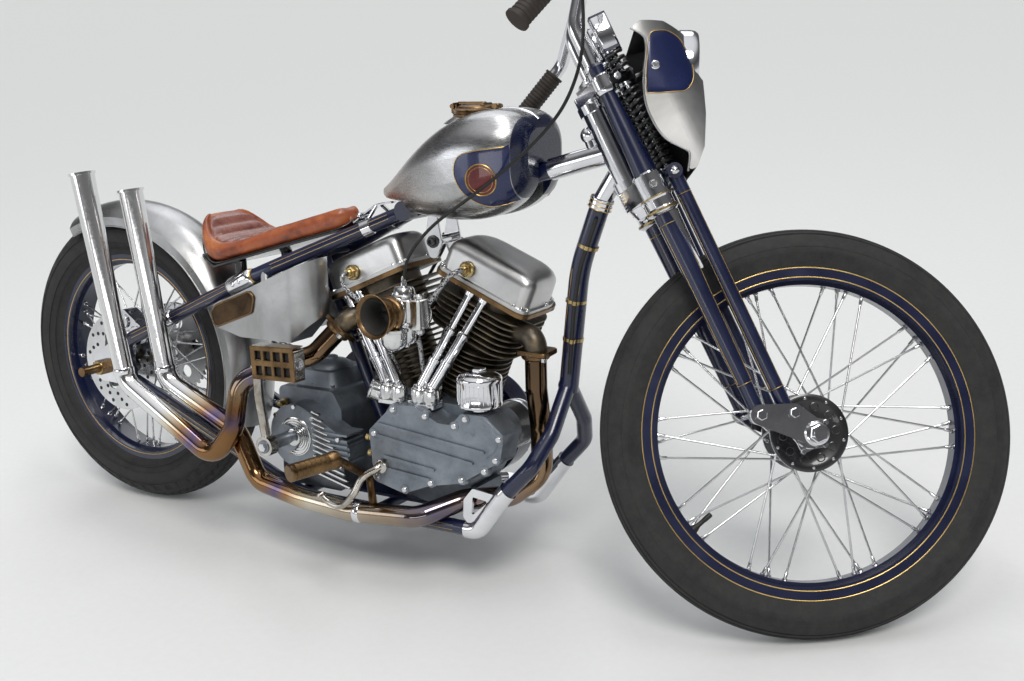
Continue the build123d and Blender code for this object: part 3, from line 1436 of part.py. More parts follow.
def assembled():
    """Every piece where it stands, before the whole is moved over the origin."""
    bike, fork = placings()
    rear_wheel = bike * Pos(0, 0, REAR_TYRE_RADIUS)
    front_wheel = fork * Pos(FORK_OFFSET, 0, 0)
    here = Pos(0, 0, 0)
    front_base = FRONT_FLANGE_RADIUS - RIM_DEPTH - RIM_WELL - SPOKE_SHY
    rear_sizes = (REAR_TYRE_RADIUS, REAR_TYRE_WIDTH, REAR_FLANGE_RADIUS, REAR_RIM_WIDTH)
    front_sizes = (FRONT_TYRE_RADIUS, FRONT_TYRE_WIDTH, FRONT_FLANGE_RADIUS, FRONT_RIM_WIDTH)
    pieces = {
        "rear_tyre": (rear_wheel, tyre(*rear_sizes)),
        "rear_rim": (rear_wheel, rim(REAR_FLANGE_RADIUS, REAR_RIM_WIDTH)),
        "rear_hub": (rear_wheel, rear_hub()),
        "rear_sprocket": (rear_wheel, rear_sprocket()),
        "front_tyre": (front_wheel, tyre(*front_sizes)),
        "front_rim": (front_wheel, rim(FRONT_FLANGE_RADIUS, FRONT_RIM_WIDTH)),
        "front_hub": (front_wheel, laced_hub(FRONT_HUB_LENGTH, FRONT_HUB_FLANGE, front_base)),
        "steering_head": (bike, steering_head()),
        "backbone": (bike, backbone()),
        "downtube": (bike, downtube()),
        "cradle_lugs": (bike, cradle_lugs()),
        "lower_rails": (bike, lower_rails()),
        "upper_stays": (bike, upper_stays()),
        "axle_plates": (bike, axle_plates()),
        "crossmembers": (bike, crossmembers()),
        "rear_axle": (bike, rear_axle()),
        "brake_caliper": (bike, brake_caliper()),
        "rear_fender": (bike, rear_fender()),
        "seat": (bike, seat()),
        "seat_pan": (bike, seat_pan()),
        "oil_tank": (bike, oil_tank()),
        "fuel_tank": (bike, fuel_tank()),
        "fuel_cap": (bike, fuel_cap()),
        "crankcase": (bike, crankcase()),
        "cam_cover": (bike, cam_cover()),
        "cylinders": (bike, cylinders()),
        "rocker_covers": (bike, rocker_covers()),
        "pushrod_tubes": (bike, pushrod_tubes()),
        "carburettor": (bike, carburettor()),
        "oil_filter": (bike, oil_filter()),
        "generator": (bike, generator()),
        "gearbox": (bike, gearbox()),
        "kick_lever": (bike, kick_lever()),
        "primary_cover": (bike, primary_cover()),
        "drive_chain": (bike, drive_chain()),
        "exhaust_front": (bike, exhaust(FRONT_PIPE, 48.0)),
        "exhaust_rear": (bike, exhaust(REAR_PIPE, 48.0)),
        "foot_controls": (bike, foot_controls()),
        "fork_stem": (fork, fork_stem()),
        "fork_legs": (fork, fork_legs()),
        "spring_legs": (fork, spring_legs()),
        "fork_springs": (fork, fork_springs()),
        "fork_rockers": (fork, fork_rockers()),
        "handlebar": (fork, handlebar()),
        "handlebar_grips": (fork, handlebar_grips()),
        "headlight_shell": (fork, headlight_shell()),
        "headlight": (fork, headlight()),
        "side_stand": (here, side_stand(bike)),
        "stand_bracket": (here, stand_bracket(bike)),
    }
    return {name: place * piece for name, (place, piece) in pieces.items()}


def main():
    os.makedirs("parts", exist_ok=True)
    pieces = assembled()
    boxes = [piece.bounding_box() for piece in pieces.values()]
    middle_x = (min(box.min.X for box in boxes) + max(box.max.X for box in boxes)) / 2
    middle_y = (min(box.min.Y for box in boxes) + max(box.max.Y for box in boxes)) / 2
    for name, piece in pieces.items():
        placed = Pos(-middle_x, -middle_y, 0) * piece
        placed.label = name
        export_step(placed, f"parts/{name}.step")


if __name__ == "__main__":
    main()
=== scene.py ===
import json
import math

import bpy
from mathutils import Matrix, Vector
from mathutils.bvhtree import BVHTree


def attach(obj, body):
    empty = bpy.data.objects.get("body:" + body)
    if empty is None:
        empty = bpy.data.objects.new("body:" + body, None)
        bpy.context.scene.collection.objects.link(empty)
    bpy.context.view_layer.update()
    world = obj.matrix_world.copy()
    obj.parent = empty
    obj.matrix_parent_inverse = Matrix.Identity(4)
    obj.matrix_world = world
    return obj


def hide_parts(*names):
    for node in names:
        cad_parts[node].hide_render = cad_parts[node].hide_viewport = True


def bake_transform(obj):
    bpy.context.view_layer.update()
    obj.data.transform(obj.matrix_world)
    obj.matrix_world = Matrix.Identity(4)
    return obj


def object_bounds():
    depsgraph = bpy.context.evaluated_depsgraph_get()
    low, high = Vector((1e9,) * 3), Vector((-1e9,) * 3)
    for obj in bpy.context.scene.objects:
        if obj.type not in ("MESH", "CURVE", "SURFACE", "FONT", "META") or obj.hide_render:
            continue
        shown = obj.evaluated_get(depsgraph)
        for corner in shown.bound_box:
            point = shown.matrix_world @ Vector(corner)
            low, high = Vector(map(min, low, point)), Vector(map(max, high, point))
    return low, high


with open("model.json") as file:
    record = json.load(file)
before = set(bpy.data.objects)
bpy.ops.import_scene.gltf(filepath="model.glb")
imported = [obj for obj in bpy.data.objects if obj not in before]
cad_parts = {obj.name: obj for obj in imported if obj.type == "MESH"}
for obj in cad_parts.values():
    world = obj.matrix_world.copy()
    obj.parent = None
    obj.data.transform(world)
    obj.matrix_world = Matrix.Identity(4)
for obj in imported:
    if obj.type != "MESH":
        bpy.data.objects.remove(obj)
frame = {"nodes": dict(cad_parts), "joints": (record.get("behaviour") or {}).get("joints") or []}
CAD_BOX = [list(corner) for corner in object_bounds()]
NODES = frame["nodes"]
JOINTS = {joint["name"]: joint for joint in frame["joints"]}

# One millimetre in metres. All shapes below are in millimetres, in the upright bike's frame (x forward
# from the rear axle, y to the left, z up from the ground), in the fork's frame (z up the steering axis,
# x forward, the wheel's axle at z 0) or in a wheel's.
MM = 0.001
RAKE = math.radians(28)
FORK_OFFSET = 85
REAR_RADIUS = 327
FRONT_RADIUS = 345
BANK_LEAN = math.radians(22.5)
ORIGIN = (0, 0, 0)
FORWARD = (1, 0, 0)
UP = (0, 0, 1)

# Places that several pieces share. Those with a y off the middle are given for the left side, except
# the carburettor's and the exhaust ports', which lie on the right.
CRANK = Vector((816, 0, 245))
GEAR_SHAFT = Vector((575, 0, 268))
CLUSTER = (753, 18, 687)
STAY_KNEE = (455, 116, 560)
STAY_EAR = (62, 118, 386)
RAIL_FRONT = (920, 110, 115)
RAIL_KNEE = (545, 110, 115)
RAIL_EAR = (72, 118, 312)
FRONT_PORT = (1048, -44, 446)
REAR_PORT = (636, -92, 462)
CARBURETTOR = Vector((822, -128, 512))
PAN_LEVEL = 336

# The fork's legs and springs stand this far forward of the steering axis and to each side of it.
LEG_X = 17
SPRING_X = 61
LEG_APART = 70
SPRING_APART = 34


def joint_place(name):
    """A joint's place in metres and its axis."""
    return Vector(JOINTS[name]["pos_m"]), Vector(JOINTS[name]["axis"]).normalized()


def axes_matrix(x, y, z, origin):
    """The frame with these three axes at an origin."""
    turned = Matrix((x, y, z)).transposed().to_4x4()
    return Matrix.Translation(origin) @ turned


STEER_AXIS = joint_place("steering")[1]
REAR_PLACE, REAR_AXIS = joint_place("rear_wheel_spin")
FRONT_PLACE, FRONT_AXIS = joint_place("front_wheel_spin")
RAKED = REAR_AXIS.cross(STEER_AXIS).normalized()
BIKE_X = math.cos(RAKE) * RAKED - math.sin(RAKE) * STEER_AXIS
BIKE_Z = math.sin(RAKE) * RAKED + math.cos(RAKE) * STEER_AXIS
SCALE = Matrix.Scale(MM, 4)
BIKE = axes_matrix(BIKE_X, REAR_AXIS, BIKE_Z, REAR_PLACE - BIKE_Z * REAR_RADIUS * MM) @ SCALE
FORK_X = FRONT_AXIS.cross(STEER_AXIS).normalized()
FORK = axes_matrix(FORK_X, FRONT_AXIS, STEER_AXIS, FRONT_PLACE - FORK_X * FORK_OFFSET * MM) @ SCALE
REAR_WHEEL = BIKE @ Matrix.Translation((0, 0, REAR_RADIUS))
FRONT_WHEEL = FORK @ Matrix.Translation((FORK_OFFSET, 0, 0))
# Turns a wheel's frame so that its axle is the local Z axis
ON_AXLE = Matrix.Rotation(-math.pi / 2, 4, "X")


def aimed(origin, z, x=FORWARD):
    """A local frame whose Z runs along z, inside another millimetre frame."""
    up = Vector(z).normalized()
    side = Vector(x)
    side = side - up * side.dot(up)
    if side.length < 1e-4:
        side = up.orthogonal()
    side.normalize()
    return axes_matrix(side, up.cross(side), up, Vector(origin))


def on_side(point, side):
    """The point itself on side 1, the left, or its twin across the middle on side -1, the right."""
    return Vector((point[0], side * point[1], point[2]))


def polar(radius, angle, centre=(0, 0)):
    """A point of the plane at an angle round a centre."""
    return centre[0] + radius * math.cos(angle), centre[1] + radius * math.sin(angle)


def circle(radius, count, centre=(0, 0)):
    """Evenly spaced points of a circle."""
    return [polar(radius, 2 * math.pi * k / count, centre) for k in range(count)]


def hexagon(radius, centre=(0, 0)):
    """The corners of a hexagon."""
    return [polar(radius, k * math.pi / 3, centre) for k in range(6)]


def turns(count, start=0):
    """Evenly spaced angles round a full turn, from a start in degrees."""
    return [math.radians(360 / count * k + start) for k in range(count)]


def eased(share):
    """Rises from 0 to 1 like a quarter of a circle."""
    return math.sqrt(max(1 - (1 - share) ** 2, 0))


def bank(side, distance):
    """The plane across a cylinder: side 1 is the front one, -1 the rear one."""
    lean = BANK_LEAN * side
    axis = Vector((math.sin(lean), 0, math.cos(lean)))
    return aimed(CRANK + axis * distance, axis, (math.cos(lean), 0, -math.sin(lean)))


# Camera, floor and light

PICTURE_WIDTH, PICTURE_HEIGHT = 1024, 681
SENSOR_WIDTH = 36
LENS_PIXELS = 1281.995
CAMERA_PLACE = (1.447698, -1.884291, 1.222908)
CAMERA_YAW = 0.5751044
CAMERA_PITCH = 0.3327943
CAMERA_ROLL = -0.1028041
FAR_CLIP = 60


def add_to_scene(name, data):
    """A new object in the scene, with this mesh, lamp or camera."""
    thing = bpy.data.objects.new(name, data)
    bpy.context.scene.collection.objects.link(thing)
    return thing


def make_camera():
    """The camera that was fitted to both wheels of the photograph."""
    yaw, pitch, roll = CAMERA_YAW, CAMERA_PITCH, CAMERA_ROLL
    look = Vector((-math.sin(yaw) * math.cos(pitch), math.cos(yaw) * math.cos(pitch), -math.sin(pitch)))
    right = look.cross(Vector(UP)).normalized()
    up = right.cross(look)
    turned_right = right * math.cos(roll) + up * math.sin(roll)
    turned_up = up * math.cos(roll) - right * math.sin(roll)
    data = bpy.data.cameras.new("camera")
    data.sensor_fit = "HORIZONTAL"
    data.sensor_width = SENSOR_WIDTH
    data.lens = LENS_PIXELS / PICTURE_WIDTH * SENSOR_WIDTH
    data.clip_end = FAR_CLIP
    camera = add_to_scene("camera", data)
    camera.matrix_world = axes_matrix(turned_right, turned_up, -look, Vector(CAMERA_PLACE))
    bpy.context.scene.camera = camera


make_camera()
bpy.context.scene.view_settings.view_transform = "Standard"


def set_stops(ramp, stops):
    """Gives a colour ramp its (place, colour) stops."""
    elements = ramp.color_ramp.elements
    while len(elements) < len(stops):
        elements.new(0.5)
    for element, (place, colour) in zip(elements, stops):
        element.position = place
        element.color = (*colour, 1)


class Shader:
    """A short way to build one material's nodes."""

    def __init__(self, name):
        self.material = bpy.data.materials.new(name)
        self.material.use_nodes = True
        self.tree = self.material.node_tree
        self.tree.nodes.clear()
        self.out = self.node("OutputMaterial")
        self.bsdf = self.node("BsdfPrincipled")
        self.tree.links.new(self.bsdf.outputs[0], self.out.inputs[0])
        self.coordinates = self.node("TexCoord").outputs["Object"]

    def node(self, kind):
        """A new node of this kind."""
        return self.tree.nodes.new("ShaderNode" + kind)

    def link(self, source, target):
        """Joins an output to an input."""
        self.tree.links.new(source, target)

    def fill(self, socket, value):
        """Links another node's output to a socket, or sets a plain value on it."""
        if hasattr(value, "is_output"):
            self.link(value, socket)
        elif isinstance(value, (tuple, list)) and len(value) == 3 and socket.type == "RGBA":
            socket.default_value = (*value, 1)
        else:
            socket.default_value = value

    def set(self, **values):
        """Fills the surface's own inputs, named with underscores for spaces."""
        for name, value in values.items():
            self.fill(self.bsdf.inputs[name.replace("_", " ")], value)

    def math(self, operation, a, b):
        """One arithmetic step on two values, by the operation's name."""
        node = self.node("Math")
        node.operation = operation
        self.fill(node.inputs[0], a)
        self.fill(node.inputs[1], b)
        return node.outputs[0]

    def vectors(self, operation, a, b, output="Value"):
        """One step on two vectors, by the operation's name."""
        node = self.node("VectorMath")
        node.operation = operation
        self.fill(node.inputs[0], a)
        self.fill(node.inputs[1], b)
        return node.outputs[output]

    def mapped(self, scale):
        """The object's coordinates, stretched along each axis."""
        node = self.node("Mapping")
        self.link(self.coordinates, node.inputs["Vector"])
        node.inputs["Scale"].default_value = scale
        return node.outputs[0]

    def noise(self, scale, detail=4, rough=0.55, vector=None, distortion=0):
        """A cloudy pattern between 0 and 1."""
        node = self.node("TexNoise")
        self.link(vector or self.coordinates, node.inputs["Vector"])
        for name, value in (("Scale", scale), ("Detail", detail), ("Roughness", rough),
                            ("Distortion", distortion)):
            node.inputs[name].default_value = value
        return node.outputs["Fac"]

    def cells(self, scale, feature="F1"):
        """The distance within a pattern of cells."""
        node = self.node("TexVoronoi")
        node.feature = feature
        self.link(self.coordinates, node.inputs["Vector"])
        node.inputs["Scale"].default_value = scale
        return node.outputs["Distance"]

    def span(self, value, low, high, to_low=0, to_high=1):
        """Maps one range of values onto another."""
        node = self.node("MapRange")
        self.fill(node.inputs["Value"], value)
        for name, number in (("From Min", low), ("From Max", high), ("To Min", to_low), ("To Max", to_high)):
            node.inputs[name].default_value = number
        return node.outputs["Result"]

    def spread(self, cloud, to_low, to_high):
        """Spreads the usual range of a noise, 0.3 to 0.7, over another range."""
        return self.span(cloud, 0.3, 0.7, to_low, to_high)

    def ramp(self, value, stops):
        """A colour for each value, between these stops."""
        node = self.node("ValToRGB")
        self.fill(node.inputs["Fac"], value)
        set_stops(node, stops)
        return node.outputs["Color"]

    def mix(self, factor, a, b, blend="MIX"):
        """Blends two colours."""
        node = self.node("Mix")
        node.data_type = "RGBA"
        node.blend_type = blend
        self.fill(node.inputs[0], factor)
        self.fill(node.inputs[6], a)
        self.fill(node.inputs[7], b)
        return node.outputs[2]

    def sum(self, a, share_a, b, share_b):
        """Two values added, each times its share."""
        return self.math("ADD", self.math("MULTIPLY", a, share_a), self.math("MULTIPLY", b, share_b))

    def bump(self, height, strength, distance):
        """Lets a height pattern roughen the surface."""
        node = self.node("Bump")
        self.fill(node.inputs["Height"], height)
        node.inputs["Strength"].default_value = strength
        node.inputs["Distance"].default_value = distance
        self.link(node.outputs[0], self.bsdf.inputs["Normal"])

    def away(self, matrix, origin):
        """The vector from an origin to the point being shaded, in metres."""
        return self.vectors("SUBTRACT", self.coordinates, matrix @ Vector(origin), "Vector")

    def along(self, matrix, origin, direction):
        """How far a point lies from an origin along a direction, in metres."""
        heading = (matrix.to_3x3() @ Vector(direction)).normalized()
        return self.vectors("DOT_PRODUCT", self.away(matrix, origin), heading)

    def from_point(self, matrix, origin):
        """How far a point lies from an origin, in metres."""
        return self.vectors("DISTANCE", self.coordinates, matrix @ Vector(origin))


def metal(name, low, high, rough, patch=9, grain=220, grain_strength=0.12, metallic=1,
          stretch=(1, 1, 1), coat=0, grime=None):
    """Bare, cast or plated metal: cloudy tone, uneven polish and a fine surface grain."""
    s = Shader(name)
    cloud = s.noise(patch, 5, 0.6, distortion=0.4)
    colour = s.ramp(cloud, [(0.3, low), (0.7, high)])
    if grime is not None:
        dirt = s.span(s.noise(patch * 4, 6, 0.7), 0.58, 0.78)
        colour = s.mix(s.math("MULTIPLY", dirt, 0.55), colour, grime)
    fine = s.noise(grain, 3, 0.6, s.mapped(stretch))
    s.set(Base_Color=colour, Metallic=metallic, Roughness=s.spread(s.sum(cloud, 0.6, fine, 0.4), *rough))
    if coat:
        s.set(Coat_Weight=coat, Coat_Roughness=0.08)
    s.bump(fine, grain_strength, 0.0006)
    return s.material


def paint(name, low, high, rough=0.3, coat=1, metallic=0.35):
    """Clear-coated paint with fine flakes and a faint orange peel."""
    s = Shader(name)
    cloud = s.noise(14, 3, 0.5)
    flakes = s.cells(900)
    colour = s.ramp(s.sum(cloud, 0.7, flakes, 0.4), [(0.25, low), (0.75, high)])
    s.set(Base_Color=colour, Metallic=metallic, Roughness=s.spread(cloud, rough - 0.06, rough + 0.08),
          Coat_Weight=coat, Coat_Roughness=0.05, Coat_IOR=1.5)
    s.bump(s.noise(160, 2, 0.4), 0.05, 0.0005)
    return s.material


def rubber(name, low, high, rough=(0.62, 0.82), dust_amount=0.3):
    """Rubber with cloudy wear under a film of dust."""
    s = Shader(name)
    cloud = s.noise(16, 5, 0.6)
    colour = s.ramp(cloud, [(0.3, low), (0.72, high)])
    film = s.span(s.noise(55, 8, 0.75), 0.42, 0.85, 0, dust_amount)
    colour = s.mix(film, colour, (0.075, 0.07, 0.065))
    s.set(Base_Color=colour, Roughness=s.spread(cloud, *rough), Specular_IOR_Level=0.35)
    s.bump(s.noise(380, 4, 0.6), 0.25, 0.0004)
    return s.material


FLOOR_HALF = 60
FLOOR_GAP = 0.0002
# How bright the studio is that gloss and glass show, from straight below to straight above
STUDIO_LEVELS = [(0, 0.8), (0.06, 0.62), (0.16, 0.2), (0.4, 0.07), (0.62, 0.16), (0.8, 0.7), (1, 0.95)]
COOL_LIGHT = (0.95, 0.97, 1)
WHITE_LIGHT = (1, 1, 1)


def make_floor():
    """A pale, dull floor just under the tyres."""
    s = Shader("studio_floor")
    s.set(Base_Color=s.mix(s.noise(60, 3, 0.5), (0.7, 0.7, 0.69), (0.74, 0.74, 0.73)), Roughness=0.9,
          Specular_IOR_Level=0.1)
    mesh = bpy.data.meshes.new("floor")
    corners = [(x * FLOOR_HALF, y * FLOOR_HALF, 0) for x, y in ((-1, -1), (1, -1), (1, 1), (-1, 1))]
    mesh.from_pydata(corners, [], [(0, 1, 2, 3)])
    mesh.materials.append(s.material)
    ground = add_to_scene("floor", mesh)
    ground.location.z = min(CAD_BOX[0][2], 0) - FLOOR_GAP


def make_world():
    """A plain light for the object, another one in gloss and glass, and a pale grey behind it."""
    world = bpy.data.worlds.new("studio")
    bpy.context.scene.world = world
    world.use_nodes = True
    tree = world.node_tree
    tree.nodes.clear()

    def node(kind, **values):
        made = tree.nodes.new("ShaderNode" + kind)
        for name, value in values.items():
            made.inputs[name].default_value = value
        return made

    def mixed(factor, first, second):
        made = node("MixShader")
        tree.links.new(factor, made.inputs["Fac"])
        tree.links.new(first.outputs[0], made.inputs[1])
        tree.links.new(second.outputs[0], made.inputs[2])
        return made

    direct = node("Background", Color=(0.92, 0.96, 1, 1), Strength=0.5)
    mirrored = node("Background", Strength=1)
    behind = node("Background", Color=(0.8, 0.8, 0.795, 1), Strength=1)
    split = node("SeparateXYZ")
    tree.links.new(node("TexCoord").outputs["Generated"], split.inputs[0])
    ramp = node("ValToRGB")
    tree.links.new(split.outputs["Z"], ramp.inputs["Fac"])
    set_stops(ramp, [(place, (level, level, level * 1.02)) for place, level in STUDIO_LEVELS])
    tree.links.new(ramp.outputs["Color"], mirrored.inputs["Color"])
    path = node("LightPath")
    either = node("Math")
    either.operation = "MAXIMUM"
    tree.links.new(path.outputs["Is Glossy Ray"], either.inputs[0])
    tree.links.new(path.outputs["Is Transmission Ray"], either.inputs[1])
    lighting = mixed(either.outputs[0], direct, mirrored)
    last = mixed(path.outputs["Is Camera Ray"], lighting, behind)
    tree.links.new(last.outputs[0], node("OutputWorld").inputs["Surface"])


def make_light(name, kind, place, target, power, colour):
    """A light at a place, aimed at a target."""
    data = bpy.data.lights.new(name, kind)
    data.energy = power
    data.color = colour
    light = add_to_scene(name, data)
    z = (Vector(place) - Vector(target)).normalized()
    x = Vector(UP).cross(z).normalized()
    light.matrix_world = axes_matrix(x, z.cross(x), z, Vector(place))
    return data


def lamp(name, place, target, size, power, colour):
    """A soft rectangular light."""
    data = make_light(name, "AREA", place, target, power, colour)
    data.shape = "RECTANGLE"
    data.size, data.size_y = size


def sun(name, place, power, softness, colour):
    """A distant light, softened by an angle in degrees."""
    data = make_light(name, "SUN", place, ORIGIN, power, colour)
    data.angle = math.radians(softness)


make_floor()
make_world()
sun("key", (1.6, -1.9, 3.4), 1.55, 22, (1, 0.985, 0.95))
sun("back", (-1.6, 2.6, 2.6), 0.5, 40, COOL_LIGHT)
lamp("side", (-2.6, -3.2, 1.6), (0, 0, 0.45), (2.4, 1.4), 22, COOL_LIGHT)
lamp("strip", (0.9, -3.6, 1), (0.2, 0, 0.45), (3, 0.3), 9, WHITE_LIGHT)
lamp("high", (0.3, 0.3, 3.6), (0, 0, 0.4), (2.6, 0.5), 26, WHITE_LIGHT)


# Materials

# A noise stretched like the marks of a brush
BRUSHED = (0.25, 1, 4)
# Where the exhausts' low bend lies, and where the tank's browned tail and blue end begin
LOW_BEND = (425, -176, 190)
TANK_TAIL = (830, 0, 720)
TANK_BLUE_FROM = 1029
# The headlight shell's middle, from which its inward faces are found and given their painted shade
NACELLE_CENTRE = (125, 0, 615)
BLUE = paint("blue_paint", (0.002, 0.0036, 0.018), (0.0045, 0.009, 0.046), coat=0.55, metallic=0)
BLUE_PANEL = paint("panel_blue", (0.003, 0.006, 0.034), (0.007, 0.015, 0.08), rough=0.22, coat=0.5,
                   metallic=0.2)
RED_PANEL = paint("panel_red", (0.05, 0.003, 0.003), (0.12, 0.008, 0.008), rough=0.25, coat=0.5, metallic=0.4)
GOLD = metal("gold_line", (0.5, 0.33, 0.1), (0.78, 0.56, 0.22), (0.25, 0.4), grain_strength=0.05)
CHROME = metal("chrome_plate", (0.66, 0.67, 0.7), (0.84, 0.84, 0.86), (0.06, 0.14), patch=12,
               grain_strength=0.012)
STEEL = metal("brushed_sheet", (0.27, 0.27, 0.265), (0.5, 0.505, 0.515), (0.24, 0.4), patch=7, grain=180,
              grain_strength=0.06, stretch=(0.25, 1, 4), grime=(0.36, 0.3, 0.22), coat=0.25)
COVER = metal("polished_pan", (0.4, 0.4, 0.4), (0.62, 0.62, 0.61), (0.26, 0.4), patch=8, grain=260,
              grain_strength=0.05, stretch=(0.2, 1, 1), coat=0.1)
CAST = metal("cast_case", (0.15, 0.17, 0.195), (0.29, 0.32, 0.36), (0.36, 0.54), patch=18, grain=420,
             grain_strength=0.3, metallic=0.85, grime=(0.07, 0.065, 0.055))
POLISHED = metal("polished_cast", (0.56, 0.57, 0.58), (0.8, 0.8, 0.79), (0.1, 0.24), patch=16, grain=160,
                 grain_strength=0.12, grime=(0.34, 0.26, 0.14))
BRONZE = metal("bronze", (0.1, 0.06, 0.032), (0.27, 0.17, 0.08), (0.22, 0.42), patch=22, grain_strength=0.12,
               grime=(0.08, 0.05, 0.03))
BRASS = metal("brass_fitting", (0.34, 0.25, 0.11), (0.56, 0.43, 0.21), (0.22, 0.36), patch=24,
              grain_strength=0.08, grime=(0.2, 0.13, 0.05))
BLACK = paint("black_enamel", (0.006, 0.006, 0.007), (0.02, 0.02, 0.022), rough=0.3, coat=0.6, metallic=0.1)
# Near-black metal used as painted shade in throats, wells and holes
DARK = metal("recess_painted_shade", (0.012, 0.012, 0.012), (0.035, 0.033, 0.03), (0.55, 0.75), metallic=0.4,
             grain_strength=0.2)
DARK_BRONZE = metal("dark_bronze", (0.03, 0.02, 0.013), (0.11, 0.07, 0.04), (0.3, 0.5), patch=24,
                    grain_strength=0.2)
AGED = metal("aged_chrome", (0.26, 0.23, 0.19), (0.66, 0.64, 0.6), (0.1, 0.24), patch=30, grain_strength=0.06,
             grime=(0.1, 0.07, 0.045))
STAINLESS = metal("spoke_steel", (0.55, 0.56, 0.57), (0.74, 0.74, 0.75), (0.14, 0.26), patch=20,
                  grain_strength=0.04)
TYRE = rubber("tyre_rubber", (0.011, 0.011, 0.0115), (0.026, 0.0255, 0.025))
GRIP = rubber("grip_rubber", (0.014, 0.011, 0.009), (0.04, 0.03, 0.024), rough=(0.5, 0.7), dust_amount=0.2)
HOSE = rubber("hose_rubber", (0.009, 0.009, 0.009), (0.018, 0.018, 0.018), rough=(0.35, 0.5),
              dust_amount=0.05)


def engine_fins():
    """Dark baked fins, cloudy from dark grey to bronze."""
    s = Shader("baked_fins")
    cloud = s.noise(26, 6, 0.65)
    colour = s.ramp(cloud, [(0.3, (0.045, 0.04, 0.034)), (0.55, (0.12, 0.1, 0.075)),
                            (0.8, (0.3, 0.22, 0.11))])
    fine = s.noise(420, 3, 0.6)
    s.set(Base_Color=colour, Metallic=0.85, Roughness=s.spread(cloud, 0.3, 0.5))
    s.bump(fine, 0.25, 0.0006)
    return s.material


def tinted_exhaust(name, hot_point, reach):
    """Chrome that browns and blues near the port and at the low bend, and clears up towards the tip."""
    s = Shader(name)
    distance = s.from_point(BIKE, hot_point)
    wander = s.math("MULTIPLY", s.noise(7, 4, 0.6), 0.16)
    heat = s.span(s.math("ADD", distance, wander), 0, reach)
    colour = s.ramp(heat, [
        (0, (0.06, 0.045, 0.035)), (0.2, (0.15, 0.095, 0.055)), (0.34, (0.3, 0.2, 0.12)),
        (0.46, (0.16, 0.14, 0.19)), (0.54, (0.34, 0.27, 0.2)), (0.68, (0.62, 0.55, 0.45)),
        (0.85, (0.84, 0.84, 0.84)),
    ])
    low = s.span(s.from_point(BIKE, LOW_BEND), 0.05, 0.2, 1, 0)
    stain = s.ramp(s.math("ADD", low, s.math("MULTIPLY", wander, 2)), [
        (0.2, (0.94, 0.94, 0.94)), (0.4, (0.8, 0.7, 0.54)), (0.62, (0.46, 0.28, 0.16)),
        (0.78, (0.2, 0.17, 0.32)), (0.95, (0.34, 0.2, 0.1)),
    ])
    fine = s.noise(140, 3, 0.5)
    s.set(Base_Color=s.mix(1, colour, stain, "MULTIPLY"), Metallic=1, Roughness=s.spread(fine, 0.07, 0.16))
    s.bump(fine, 0.03, 0.0005)
    return s.material


def leather(name, low, middle, high, rough=(0.3, 0.46)):
    """Waxed hide with pores, creases and worn patches."""
    s = Shader(name)
    cloud = s.noise(20, 6, 0.62, distortion=0.5)
    colour = s.ramp(cloud, [(0.3, low), (0.52, middle), (0.78, high)])
    pores = s.cells(620)
    creases = s.span(s.cells(150, "DISTANCE_TO_EDGE"), 0, 0.12)
    s.set(Base_Color=colour, Roughness=s.spread(s.noise(90, 5, 0.6), *rough), Specular_IOR_Level=0.5,
          Coat_Weight=0.25, Coat_Roughness=0.25)
    s.bump(s.sum(pores, 0.6, creases, 0.4), 0.22, 0.0006)
    return s.material


def lens_glass():
    """Clear glass with upright flutes."""
    s = Shader("fluted_lens")
    wave = s.node("TexWave")
    s.link(s.coordinates, wave.inputs["Vector"])
    wave.inputs["Scale"].default_value = 60
    wave.inputs["Distortion"].default_value = 0.6
    s.set(Base_Color=(0.9, 0.93, 0.95), Roughness=0.04, Transmission_Weight=0.85, IOR=1.45)
    s.bump(wave.outputs["Fac"], 0.25, 0.002)
    return s.material


def braid():
    """Braided line: a dark and bright woven check all over it."""
    s = Shader("braided_line")
    checks = s.cells(300)
    colour = s.ramp(checks, [(0.42, (0.012, 0.013, 0.016)), (0.5, (0.42, 0.42, 0.43))])
    s.set(Base_Color=colour, Metallic=0.6, Roughness=0.35)
    s.bump(checks, 0.5, 0.0008)
    return s.material


def tank_sheet():
    """Bare brushed sheet, browned at its tail, with the end round the neck in blue."""
    s = Shader("tank_sheet")
    cloud = s.noise(7, 5, 0.6, distortion=0.5)
    colour = s.ramp(cloud, [(0.3, (0.27, 0.265, 0.26)), (0.7, (0.52, 0.525, 0.535))])
    tail = s.math("ADD", s.along(BIKE, TANK_TAIL, (-0.75, 0, -0.66)), s.math("MULTIPLY", cloud, 0.12))
    colour = s.mix(s.span(tail, 0.02, 0.2, 0, 0.75), colour, (0.4, 0.23, 0.14))
    nose = s.span(s.along(BIKE, (TANK_BLUE_FROM, 0, 0), FORWARD), 0, 0.001)
    colour = s.mix(nose, colour, (0.003, 0.006, 0.028))
    fine = s.noise(180, 3, 0.6, s.mapped(BRUSHED))
    s.set(Base_Color=colour, Metallic=s.math("SUBTRACT", 1, nose), Roughness=s.spread(fine, 0.2, 0.36),
          Coat_Weight=0.3, Coat_Roughness=0.08)
    s.bump(fine, 0.05, 0.0006)
    return s.material


